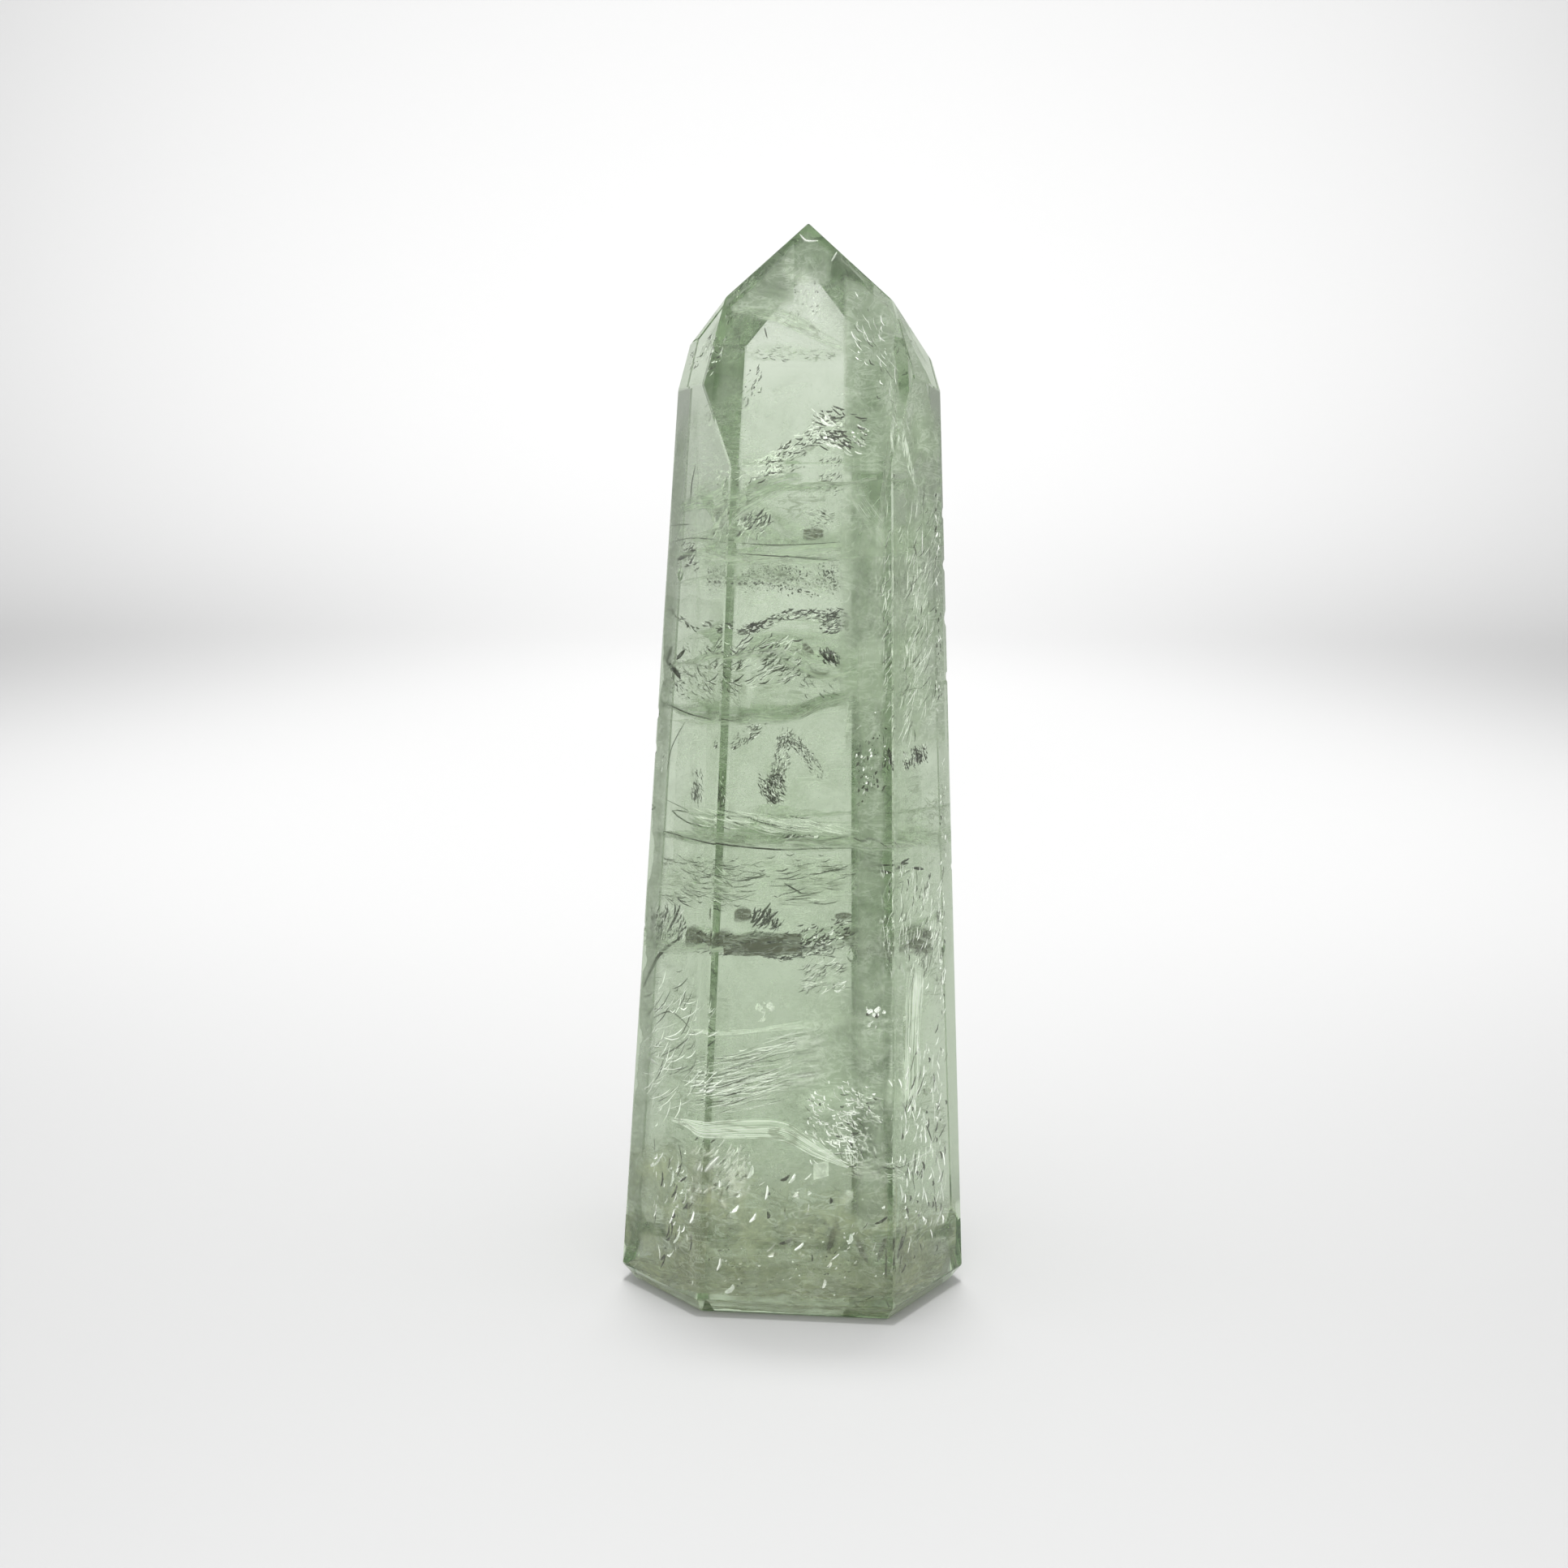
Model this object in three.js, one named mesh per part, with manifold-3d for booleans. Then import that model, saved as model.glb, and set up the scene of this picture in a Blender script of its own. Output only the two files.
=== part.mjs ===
// A polished prasiolite point: one piece of pale green quartz, cut as a tapering six-sided column that
// stands on a flat base and ends in a six-faced tip. Millimetres, +Z up; the origin is the middle of the base.
import * as THREE from 'three';
import { mergeVertices } from 'three/addons/utils/BufferGeometryUtils.js';
import Module from 'manifold-3d';

// Height of the tip's apex above the base, before its last fraction is rounded away by polishing.
const HEIGHT = 76.2;

// The apex stands almost over the middle of the foot.
const APEX = new THREE.Vector3(0.45, 0, HEIGHT);

// The six faces of the column. bearing is the direction each faces, in degrees from +X towards +Y;
// apothem is its distance from the column's axis at the base; lean is how far it tips inwards, in degrees.
const SIDES = {
  front: { bearing: -94.5, apothem: 10.75, lean: 3.3 },
  frontRight: { bearing: -36, apothem: 12.5, lean: 2.8 },
  backRight: { bearing: 26.5, apothem: 9.6, lean: 1.9 },
  back: { bearing: 89, apothem: 11.25, lean: 2.3 },
  backLeft: { bearing: 156.5, apothem: 10.05, lean: 2.9 },
  frontLeft: { bearing: 223, apothem: 12.05, lean: 3.7 },
};

// Three large tip faces meet at the apex. slope is their angle to the horizontal, in degrees.
const APEX_FACES = {
  front: { bearing: -95, slope: 65.6 },
  backRight: { bearing: 25, slope: 52.4 },
  backLeft: { bearing: 149, slope: 52.4 },
};

// Three small tip faces sit between them, each starting at its own height on the column.
const SHOULDER_FACES = {
  frontLeft: { bearing: 219, slope: 64.6, shoulder: 65.5 },
  frontRight: { bearing: -27.5, slope: 64.5, shoulder: 66.1 },
  back: { bearing: 89.5, slope: 75, shoulder: 65.6 },
};

// The bevel ground round the foot of the column.
const FOOT_BEVEL = { inset: 0.9, height: 1.35 };

// Polishing leaves each sharp edge as a narrow flat of this width.
const POLISHED_EDGE = 0.16;

// Small shell-shaped nicks along the column's edges: the two faces that meet there, the height,
// the nick's length along the edge and how deep it bites.
const NICKS = [
  { edge: ['frontRight', 'backRight'], height: 56.6, length: 1.5, bite: 0.2 },
  { edge: ['frontRight', 'backRight'], height: 53.0, length: 1.1, bite: 0.26 },
  { edge: ['frontRight', 'backRight'], height: 49.3, length: 2.1, bite: 0.24 },
  { edge: ['frontRight', 'backRight'], height: 45.2, length: 1.3, bite: 0.22 },
  { edge: ['frontRight', 'backRight'], height: 31.5, length: 0.9, bite: 0.18 },
  { edge: ['frontLeft', 'backLeft'], height: 42.4, length: 1.2, bite: 0.24 },
  { edge: ['frontLeft', 'backLeft'], height: 39.9, length: 1.7, bite: 0.2 },
  { edge: ['frontLeft', 'backLeft'], height: 27.0, length: 0.9, bite: 0.16 },
  { edge: ['front', 'frontLeft'], height: 12.2, length: 1.0, bite: 0.18 },
  { edge: ['front', 'frontRight'], height: 4.1, length: 1.2, bite: 0.2 },
  { edge: ['back', 'backLeft'], height: 51.0, length: 1.6, bite: 0.24 },
  { edge: ['back', 'backRight'], height: 22.5, length: 1.4, bite: 0.22 },
];

// A nick's breadth, as a share of its length.
const NICK_BREADTH = 0.9;

const QUARTZ_GREEN = 0xb2c4ac;
const POLISH_ROUGHNESS = 0.04;
const CLEAR_OPACITY = 0.55;

// Corners closer than this are one corner, and three facets whose normals span less than this never meet in one.
const WELD = 1e-5;
const PARALLEL = 1e-9;

const radians = THREE.MathUtils.degToRad;

// A unit vector with the given bearing in plan, tipped up from the horizontal by rise degrees.
function direction(bearing, rise) {
  const level = Math.cos(radians(rise));
  return new THREE.Vector3(
    Math.cos(radians(bearing)) * level,
    Math.sin(radians(bearing)) * level,
    Math.sin(radians(rise)),
  );
}

// A flat face of the stone: everything on the inner side of the plane is kept.
function facetThrough(normal, point) {
  return { normal, offset: normal.dot(point) };
}

function sidePoint(side, height, inset = 0) {
  const reach = side.apothem - inset - height * Math.tan(radians(side.lean));
  return direction(side.bearing, 0).multiplyScalar(reach).setZ(height);
}

function sideFacet(side) {
  return facetThrough(direction(side.bearing, side.lean), sidePoint(side, 0));
}

function apexFacet(face) {
  return facetThrough(direction(face.bearing, 90 - face.slope), APEX);
}

function shoulderFacet(name) {
  const face = SHOULDER_FACES[name];
  return facetThrough(direction(face.bearing, 90 - face.slope), sidePoint(SIDES[name], face.shoulder));
}

function footFacet(side) {
  const fall = THREE.MathUtils.radToDeg(Math.atan2(FOOT_BEVEL.inset, FOOT_BEVEL.height));
  return facetThrough(direction(side.bearing, -fall), sidePoint(side, 0, FOOT_BEVEL.inset));
}

// The point where three facets meet, or null where they don't meet in one point.
function corner(a, b, c) {
  const cross = new THREE.Vector3().crossVectors(b.normal, c.normal);
  const volume = a.normal.dot(cross);
  if (Math.abs(volume) < PARALLEL) return null;
  return cross.multiplyScalar(a.offset)
    .addScaledVector(new THREE.Vector3().crossVectors(c.normal, a.normal), b.offset)
    .addScaledVector(new THREE.Vector3().crossVectors(a.normal, b.normal), c.offset)
    .divideScalar(volume);
}

// The corners of the stone that the facets enclose, each with the set of facets that it lies on.
function cornersOf(facets) {
  const corners = [];
  for (let i = 0; i < facets.length; i++) {
    for (let j = i + 1; j < facets.length; j++) {
      for (let k = j + 1; k < facets.length; k++) {
        const point = corner(facets[i], facets[j], facets[k]);
        if (!point || facets.some((f) => f.normal.dot(point) > f.offset + WELD)) continue;
        let found = corners.find((known) => known.point.distanceTo(point) < WELD);
        if (!found) {
          found = { point, on: new Set() };
          corners.push(found);
        }
        [i, j, k].forEach((facet) => found.on.add(facet));
      }
    }
  }
  return corners;
}

// Each pair of facets that share an edge gets a narrow flat between them.
function polishedEdges(facets) {
  const corners = cornersOf(facets);
  const flats = [];
  for (let i = 0; i < facets.length; i++) {
    for (let j = i + 1; j < facets.length; j++) {
      const shared = corners.filter(({ on }) => on.has(i) && on.has(j));
      if (shared.length < 2) continue;
      const turn = facets[i].normal.angleTo(facets[j].normal);
      const depth = (POLISHED_EDGE / 2) * Math.tan(turn / 2);
      const normal = facets[i].normal.clone().add(facets[j].normal).normalize();
      flats.push({ normal, offset: normal.dot(shared[0].point) - depth });
    }
  }
  return flats;
}

// A closed mesh of the stone: each facet is a fan of triangles round its own corners.
function stoneGeometry(facets) {
  const corners = cornersOf(facets);
  const triangles = [];
  facets.forEach(({ normal }, facet) => {
    const ring = corners.map((c, index) => ({ ...c, index })).filter(({ on }) => on.has(facet));
    if (ring.length < 3) return;
    const middle = new THREE.Vector3();
    ring.forEach(({ point }) => middle.addScaledVector(point, 1 / ring.length));
    const east = ring[0].point.clone().sub(middle).normalize();
    const north = new THREE.Vector3().crossVectors(normal, east);
    const angle = ({ point }) => {
      const arm = point.clone().sub(middle);
      return Math.atan2(arm.dot(north), arm.dot(east));
    };
    ring.sort((a, b) => angle(a) - angle(b));
    for (let i = 1; i < ring.length - 1; i++) {
      triangles.push(ring[0].index, ring[i].index, ring[i + 1].index);
    }
  });
  const geometry = new THREE.BufferGeometry().setFromPoints(corners.map(({ point }) => point));
  geometry.setIndex(triangles);
  return geometry;
}

// The outward direction and the place of a column edge at a height.
function edgeAt([first, second], height) {
  const level = facetThrough(new THREE.Vector3(0, 0, 1), new THREE.Vector3(0, 0, height));
  const place = corner(sideFacet(SIDES[first]), sideFacet(SIDES[second]), level);
  const outward = direction(SIDES[first].bearing, 0).add(direction(SIDES[second].bearing, 0)).normalize();
  return { place, outward };
}

// A nick is scooped out by a small faceted shell, set so that only its near side bites into the edge.
function nickGeometry({ edge, height, length, bite }, turn) {
  const { place, outward } = edgeAt(edge, height);
  const shell = new THREE.IcosahedronGeometry(1, 1);
  shell.rotateZ(turn);
  const radius = (length * NICK_BREADTH) / 2;
  shell.scale(radius, radius, length / 2);
  const centre = place.clone().addScaledVector(outward, radius - bite);
  shell.translate(centre.x, centre.y, centre.z);
  return shell;
}

// A closed surface as a solid that can be cut: only its welded points and its triangles matter.
function toSolid(wasm, geometry) {
  geometry.deleteAttribute('normal');
  geometry.deleteAttribute('uv');
  const welded = mergeVertices(geometry, WELD);
  return new wasm.Manifold(new wasm.Mesh({
    numProp: 3,
    vertProperties: welded.getAttribute('position').array,
    triVerts: Uint32Array.from(welded.index.array),
  }));
}

function toGeometry(solid) {
  const mesh = solid.getMesh();
  const geometry = new THREE.BufferGeometry();
  geometry.setAttribute('position', new THREE.BufferAttribute(mesh.vertProperties, 3));
  geometry.setIndex(new THREE.BufferAttribute(mesh.triVerts, 1));
  return geometry;
}

// The origin is the middle of the footprint's box, so the stone is slid there once it is cut.
function centreFootprint(geometry) {
  geometry.computeBoundingBox();
  const middle = geometry.boundingBox.getCenter(new THREE.Vector3());
  geometry.translate(-middle.x, -middle.y, -geometry.boundingBox.min.z);
}

const wasm = await Module();
wasm.setup();

const base = facetThrough(new THREE.Vector3(0, 0, -1), new THREE.Vector3(0, 0, 0));
const groundFacets = [
  ...Object.values(SIDES).map(sideFacet),
  ...Object.values(APEX_FACES).map(apexFacet),
  ...Object.keys(SHOULDER_FACES).map(shoulderFacet),
  ...Object.values(SIDES).map(footFacet),
  base,
];
let stone = toSolid(wasm, stoneGeometry([...groundFacets, ...polishedEdges(groundFacets)]));
NICKS.forEach((nick, index) => {
  stone = stone.subtract(toSolid(wasm, nickGeometry(nick, index)));
});

const geometry = toGeometry(stone);
centreFootprint(geometry);
geometry.computeVertexNormals();

const clearGreen = new THREE.MeshStandardMaterial({
  color: QUARTZ_GREEN,
  roughness: POLISH_ROUGHNESS,
  metalness: 0,
  transparent: true,
  opacity: CLEAR_OPACITY,
});
const crystal = new THREE.Mesh(geometry, clearGreen);
crystal.name = 'prasiolite_point';

const group = new THREE.Group();
group.add(crystal);

export default group;
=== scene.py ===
"""A polished prasiolite point of clear pale green quartz, with the veils and healed cracks inside it."""
import math
from functools import cache

import bmesh
import bpy
from mathutils import Matrix, Vector, noise as wobble
from mathutils.bvhtree import BVHTree


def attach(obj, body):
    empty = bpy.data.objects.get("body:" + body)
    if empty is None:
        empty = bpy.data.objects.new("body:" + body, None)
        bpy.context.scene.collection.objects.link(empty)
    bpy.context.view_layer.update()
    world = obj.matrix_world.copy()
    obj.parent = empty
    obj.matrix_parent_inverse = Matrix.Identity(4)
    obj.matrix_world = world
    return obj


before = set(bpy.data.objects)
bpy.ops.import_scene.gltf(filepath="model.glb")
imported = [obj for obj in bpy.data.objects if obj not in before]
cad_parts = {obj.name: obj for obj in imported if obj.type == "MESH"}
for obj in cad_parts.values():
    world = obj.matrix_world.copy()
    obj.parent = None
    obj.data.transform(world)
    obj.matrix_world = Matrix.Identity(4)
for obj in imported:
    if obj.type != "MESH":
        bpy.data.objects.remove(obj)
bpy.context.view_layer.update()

bl_info = {
    "name": "Prasiolite point",
    "version": (1, 0, 0),
    "blender": (4, 5, 0),
    "location": "3D View > Sidebar > Prasiolite",
    "description": "Finishes a polished prasiolite point: clear quartz, its inclusions and a plain stage",
    "category": "Object",
}

STONE = "prasiolite_point"
BODY = "root"
MM = 0.001

# The floor lies this far under the stone, as a stone rests on the high points of a surface.
FLOOR_GAP = 0.1 * MM

# Inclusions keep this far inside the polished faces.
SKIN = 0.12 * MM

# A face of the stone larger than this is a ground facet; smaller ones are rounded edges and nicks.
FACET_AREA = 1.5 * MM * MM

# Two directions closer than this are one facet's.
SAME_DIRECTION = 0.9999

# A cut along a facet takes up points that lie this close to it.
CUT_TOLERANCE = 0.001 * MM

# How thick a veil is between its ridges, as a share of the ridges.
VALLEY = 0.45

# The quartz's polish: its roughest spots, and the strength and depth in metres of its ripple.
POLISH_ROUGHNESS = 0.012
POLISH_RIPPLE = (0.03, 0.0005)

# Fine lines come in patches: their scale as a share of the lines' own, and where they start and are full.
PATCH_SCALE = 0.7
PATCH_RANGE = (0.38, 0.6)

# The waves in a sheet: how they fall off and split, how many sizes they have, and a seed's shift in them.
WAVE_FALL = 0.9
WAVE_SPLIT = 2.0
WAVE_SIZES = 4
SEED_SHIFT = (7.3, 3.1, 5.7)

# How far ahead, as a share of its length, a sheet or a needle looks for its own direction.
SHEET_AHEAD = 0.01
NEEDLE_AHEAD = 0.02

# A needle's rings, the sides of a ring, its depth as a share of its width, and how bluntly it tapers.
NEEDLE_STEPS = 12
NEEDLE_SIDES = 4
NEEDLE_FLATNESS = 0.45
NEEDLE_TAPER = 0.7

# Flakes: the noise at which a clump starts and is full, a flake's smallest and largest size on each axis
# as shares of the length, its depth as a share of its breadth, and the scale of what crumples it.
CLUMP_RANGE = (0.42, 0.62)
SMALLEST_FLAKE = (0.2, 0.2, 0.3)
LARGEST_FLAKE = (1.5, 1.3, 1.0)
FLAKE_FLATNESS = 0.3
CRUMPLE_SCALE = 2600.0

# The guide sheet under a cluster, and the seed of the first cluster.
GUIDE = {"steps": (24, 12), "wave": (2.0, 0.4), "fade": (0.15, 0.2)}
FIRST_CLUSTER_SEED = 41

# The floor's reach before the stone, the bend up to the backdrop, and the backdrop's height, in metres.
FLOOR_FRONT = 1.5
SWEEP_BEND = 0.2
SWEEP_STEPS = 24
BACKDROP_HEIGHT = 0.75

# Each lamp's place, aim, opening in degrees and share of the lamp power.
LAMPS = {
    "lamp behind the stone": ((0.0, 0.17, 0.9), (0.0, 0.17, 0.0), 28, 1.0),
    "lamp before the stone": ((0.0, -0.12, 0.9), (0.0, -0.12, 0.0), 18, 0.8),
    "lamp on the backdrop": ((0.0, 0.15, 0.55), (0.0, 0.55, 0.22), 80, 0.46),
}
LAMP_EDGE = 0.75
LAMP_SIZE = 0.08


# Nodes

def fill(tree, socket, value):
    """Give an input a plain value, or link another node's output to it."""
    if isinstance(value, bpy.types.NodeSocket):
        tree.links.new(value, socket)
    else:
        socket.default_value = value


def connect(tree, node, **inputs):
    """Fill a node's inputs; an underscore in a name stands for a space."""
    for name, value in inputs.items():
        fill(tree, node.inputs[name.replace("_", " ")], value)


def add_node(tree, kind, mode=None, **inputs):
    """A new node; mode holds its own settings."""
    node = tree.nodes.new(kind)
    for name, value in (mode or {}).items():
        setattr(node, name, value)
    connect(tree, node, **inputs)
    return node


def output_of(tree, kind, mode=None, **inputs):
    """The first output of a new node."""
    return add_node(tree, kind, mode, **inputs).outputs[0]


def math_node(tree, operation, *values, kind="ShaderNodeMath", **inputs):
    """The outcome of one calculation on values or outputs."""
    node = add_node(tree, kind, {"operation": operation}, **inputs)
    for slot, value in enumerate(values):
        fill(tree, node.inputs[slot], value)
    return node.outputs[0]


def vector_node(tree, operation, *values, **inputs):
    """The outcome of one calculation on vectors."""
    return math_node(tree, operation, *values, kind="ShaderNodeVectorMath", **inputs)


def product(tree, first, *others):
    """Values or outputs multiplied together."""
    for other in others:
        first = math_node(tree, "MULTIPLY", first, other)
    return first


def noise(tree, place, scale, detail, **inputs):
    return output_of(tree, "ShaderNodeTexNoise", Vector=place, Scale=scale, Detail=detail, **inputs)


def remap(tree, value, low, high, to_low=0.0, to_high=1.0, blend="LINEAR"):
    """The range low to high turned into another."""
    return output_of(tree, "ShaderNodeMapRange", {"interpolation_type": blend}, Value=value,
                     From_Min=low, From_Max=high, To_Min=to_low, To_Max=to_high)


def named_inputs(tree, sockets):
    """Give a node group its inputs, each with a kind and a default, and hand them back."""
    for label, (kind, default) in sockets.items():
        socket = tree.interface.new_socket(label, in_out="INPUT", socket_type="NodeSocket" + kind)
        if default is not None:
            socket.default_value = default
    return tree.nodes.new("NodeGroupInput").outputs


def named_output(tree, label, kind, value):
    """Give a node group its one output."""
    tree.interface.new_socket(label, in_out="OUTPUT", socket_type="NodeSocket" + kind)
    tree.links.new(value, tree.nodes.new("NodeGroupOutput").inputs[label])


# Materials

def tone(colour, share=1.0):
    """A colour darkened to a share of itself, as a colour input takes it."""
    return (*(share * part for part in colour), 1.0)


def new_material(name, **plain):
    """A material of one Principled shader with plain values, which is never sampled as a lamp."""
    material = bpy.data.materials.new(name)
    material.use_nodes = True
    material.cycles.emission_sampling = "NONE"
    tree = material.node_tree
    tree.nodes.clear()
    shader = add_node(tree, "ShaderNodeBsdfPrincipled", **plain)
    add_node(tree, "ShaderNodeOutputMaterial", Surface=shader.outputs["BSDF"])
    return material, tree, shader


def object_place(tree):
    return add_node(tree, "ShaderNodeTexCoord").outputs["Object"]


def bump(tree, height, strength, distance):
    return output_of(tree, "ShaderNodeBump", Height=height, Strength=strength, Distance=distance)


def mixed(tree, share, first, second):
    """Two colours mixed; each is a plain colour or an output."""
    node = add_node(tree, "ShaderNodeMix", {"data_type": "RGBA"})
    sockets = {socket.identifier: socket for socket in (*node.inputs, *node.outputs)}
    for label, value in (("Factor_Float", share), ("A_Color", first), ("B_Color", second)):
        fill(tree, sockets[label], value)
    return sockets["Result_Color"]


@cache
def cloud_group():
    """Soft clouds: how thick a veil is from place to place."""
    group = bpy.data.node_groups.new("cloud mask", "ShaderNodeTree")
    given = named_inputs(group, {"Place": ("Vector", None), "Scale": ("Float", 200.0),
                                 "From": ("Float", 0.4), "To": ("Float", 0.7)})
    clouds = noise(group, given["Place"], given["Scale"], 7.0, Roughness=0.62, Distortion=0.6)
    soft = remap(group, clouds, given["From"], given["To"], blend="SMOOTHSTEP")
    named_output(group, "Mask", "Float", soft)
    return group


@cache
def streak_group():
    """Streaks that run along a veil, as its healed ridges do."""
    group = bpy.data.node_groups.new("streak mask", "ShaderNodeTree")
    given = named_inputs(group, {"Along": ("Float", 3.0), "Across": ("Float", 30.0),
                                 "From": ("Float", 0.4), "To": ("Float", 0.7)})
    sheet_place = output_of(group, "ShaderNodeUVMap", {"uv_map": "sheet"})
    stretch = output_of(group, "ShaderNodeCombineXYZ", X=given["Along"], Y=given["Across"])
    stretched = vector_node(group, "MULTIPLY", sheet_place, stretch)
    streaks = noise(group, stretched, 1.0, 4.0, Distortion=0.8)
    soft = remap(group, streaks, given["From"], given["To"], blend="SMOOTHSTEP")
    named_output(group, "Mask", "Float", soft)
    return group


@cache
def wrinkle_group():
    """Fine wrinkles: thin winding lines where a noise passes its middle."""
    group = bpy.data.node_groups.new("wrinkle mask", "ShaderNodeTree")
    given = named_inputs(group, {"Place": ("Vector", None), "Scale": ("Float", 400.0),
                                 "Stretch": ("Vector", (1.0, 1.0, 2.5)), "Width": ("Float", 0.03)})
    stretched = vector_node(group, "MULTIPLY", given["Place"], given["Stretch"])
    hills = noise(group, stretched, given["Scale"], 3.0, Roughness=0.6, Distortion=1.2)
    off = math_node(group, "ABSOLUTE", math_node(group, "SUBTRACT", hills, 0.5))
    soft = remap(group, off, 0.0, given["Width"], 1.0, 0.0, "SMOOTHSTEP")
    named_output(group, "Mask", "Float", soft)
    return group


def mask(tree, group, **inputs):
    """A shared mask group placed in a material, with its own values."""
    return output_of(tree, "ShaderNodeGroup", {"node_tree": group}, **inputs)


def clouded(tree, place, scale, low, high):
    return mask(tree, cloud_group(), Place=place, Scale=scale, From=low, To=high)


def clear_quartz(settings):
    """Clear green quartz: what it takes from the light grows with the way through it."""
    material, tree, shader = new_material(
        "clear green quartz", Base_Color=(1.0, 1.0, 1.0, 1.0), Transmission_Weight=1.0,
        IOR=settings.refraction)
    place = object_place(tree)
    connect(tree, shader,
            Roughness=remap(tree, noise(tree, place, 900.0, 6.0), 0.45, 0.8, 0.0, POLISH_ROUGHNESS),
            Normal=bump(tree, noise(tree, place, 160.0, 2.0), *POLISH_RIPPLE))
    absorption = output_of(tree, "ShaderNodeVolumeAbsorption", Color=tone(settings.tint),
                           Density=settings.depth_density)
    connect(tree, tree.get_output_node("ALL"), Volume=absorption)
    return material


def veil_finish(name, dark, light, thick, streaks, clouds, line_sets, **plain):
    """A healed crack: streaked, clouded and thinning out to nothing at its border.

    thick is the alpha where it is thickest. streaks is (along, across, from, to), or (scale, from, to)
    for mottles that run no way; clouds is (scale, from, to). Each of line_sets is
    (scale, stretch, width, alpha, colour) for fine lines. What a veil shows in its own colour also glows
    faintly: painted light, standing in for the light that milky cracks gather from the clear stone round
    them.
    """
    material, tree, shader = new_material(name, **plain)
    place = object_place(tree)
    if len(streaks) == 3:
        streak = clouded(tree, place, *streaks)
    else:
        lengthwise, crosswise, low, high = streaks
        streak = mask(tree, streak_group(), Along=lengthwise, Across=crosswise, From=low, To=high)
    colour = mixed(tree, streak, dark, light)
    body = math_node(tree, "MULTIPLY_ADD", streak, 1.0 - VALLEY, VALLEY)
    alpha = product(tree, body, clouded(tree, place, *clouds), thick)
    for scale, stretch, width, strength, line_colour in line_sets:
        lines = mask(tree, wrinkle_group(), Place=place, Scale=scale, Stretch=stretch, Width=width)
        lines = product(tree, lines, clouded(tree, place, PATCH_SCALE * scale, *PATCH_RANGE), strength)
        colour = mixed(tree, lines, colour, line_colour)
        alpha = math_node(tree, "MAXIMUM", alpha, lines)
    cover = add_node(tree, "ShaderNodeAttribute", {"attribute_name": "cover"}).outputs["Fac"]
    # Painted light: each veil glows faintly in its own colour.
    connect(tree, shader, Base_Color=colour, Emission_Color=colour, Alpha=product(tree, alpha, cover))
    return material


def crack_finish(settings):
    """The dark side of a crack: painted shade, a dark colour standing in for the stone's own shade that the
    crack sends the sight line off to.
    """
    material, tree, shader = new_material("dark crack", Roughness=0.35)
    place = object_place(tree)
    patch = noise(tree, place, 1500.0, 3.0)
    connect(tree, shader,
            Base_Color=mixed(tree, patch, tone(settings.crack, 0.5), tone(settings.crack, 1.6)),
            Alpha=remap(tree, noise(tree, place, 1800.0, 2.0), 0.3, 0.6, 0.4, 0.95))
    return material


def mirror_finish(settings):
    """The silvery side of a crack, which sends the sight line off to the light, and glows a little on top:
    painted light.
    """
    material, tree, shader = new_material("silvery crack", Metallic=1.0, Emission_Strength=settings.painted_glow)
    place = object_place(tree)
    patch = noise(tree, place, 1200.0, 3.0)
    colour = mixed(tree, patch, tone(settings.silver, 0.8), tone(settings.silver))
    connect(tree, shader, Base_Color=colour, Emission_Color=colour,
            Roughness=remap(tree, patch, 0.3, 0.7, 0.08, 0.3),
            Alpha=remap(tree, noise(tree, place, 2500.0, 2.0), 0.3, 0.6, 0.5, 1.0))
    return material


def sweep_paper(settings):
    """Pale matt paper with a faint tooth."""
    material, tree, shader = new_material("pale paper", Base_Color=tone(settings.floor_tint), Roughness=0.9)
    connect(tree, shader, Normal=bump(tree, noise(tree, object_place(tree), 1200.0, 4.0), 0.04, 0.0002))
    return material


# Places inside the stone

def camera_pose(settings):
    """The camera's place and turn."""
    aim = Vector(settings.aim)
    back = Vector((0.0, -math.cos(settings.rise), math.sin(settings.rise)))
    place = Vector((settings.camera_side, aim.y, aim.z)) + back * settings.distance
    turn = (aim - place).to_track_quat("-Z", "Y").to_matrix() @ Matrix.Rotation(settings.roll, 3, "Z")
    return Matrix.Translation(place) @ turn.to_4x4()


def bent_ray(ray, normal, refraction):
    """The way a sight line goes on inside the stone."""
    ratio = 1.0 / refraction
    facing = -ray.dot(normal)
    inner = math.sqrt(1.0 - ratio * ratio * (1.0 - facing * facing))
    return (ray * ratio + normal * (ratio * facing - inner)).normalized()


class Sight:
    """Finds the place inside the stone that is seen at a point of the picture.

    A picture point is given in millimetres across and up from the middle of the picture, on a sheet
    square to the camera's sight line at the stone. through is the share of the way from the polished
    face that the sight line enters to the face that it leaves by.
    """

    def __init__(self, context):
        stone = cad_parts[STONE].data
        self.faces = BVHTree.FromPolygons(
            [vertex.co for vertex in stone.vertices], [face.vertices for face in stone.polygons])
        self.refraction = context.scene.prasiolite_quartz.refraction
        self.distance = context.scene.prasiolite_stage.distance
        self.camera = camera_pose(context.scene.prasiolite_stage)

    def inside(self, across, up, through):
        eye = self.camera.translation
        aim = self.camera @ Vector((across * MM, up * MM, -self.distance))
        ray = (aim - eye).normalized()
        place, normal, _, _ = self.faces.ray_cast(eye, ray)
        if place is None:
            raise RuntimeError(f"no stone at {across}, {up}")
        inward = bent_ray(ray, normal, self.refraction)
        _, _, _, way = self.faces.ray_cast(place + inward * SKIN, inward)
        return place + inward * (((way or 0.0) + SKIN) * through)


@cache
def ground_facets():
    """The stone's large flat faces, as a point and an outward direction each."""
    facets = []
    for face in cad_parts[STONE].data.polygons:
        offset = face.normal.dot(face.center)
        known = any(normal.dot(face.normal) > SAME_DIRECTION and abs(normal.dot(point) - offset) < SKIN
                    for point, normal in facets)
        if face.area >= FACET_AREA and not known:
            facets.append((face.center.copy(), face.normal.copy()))
    return facets


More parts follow.
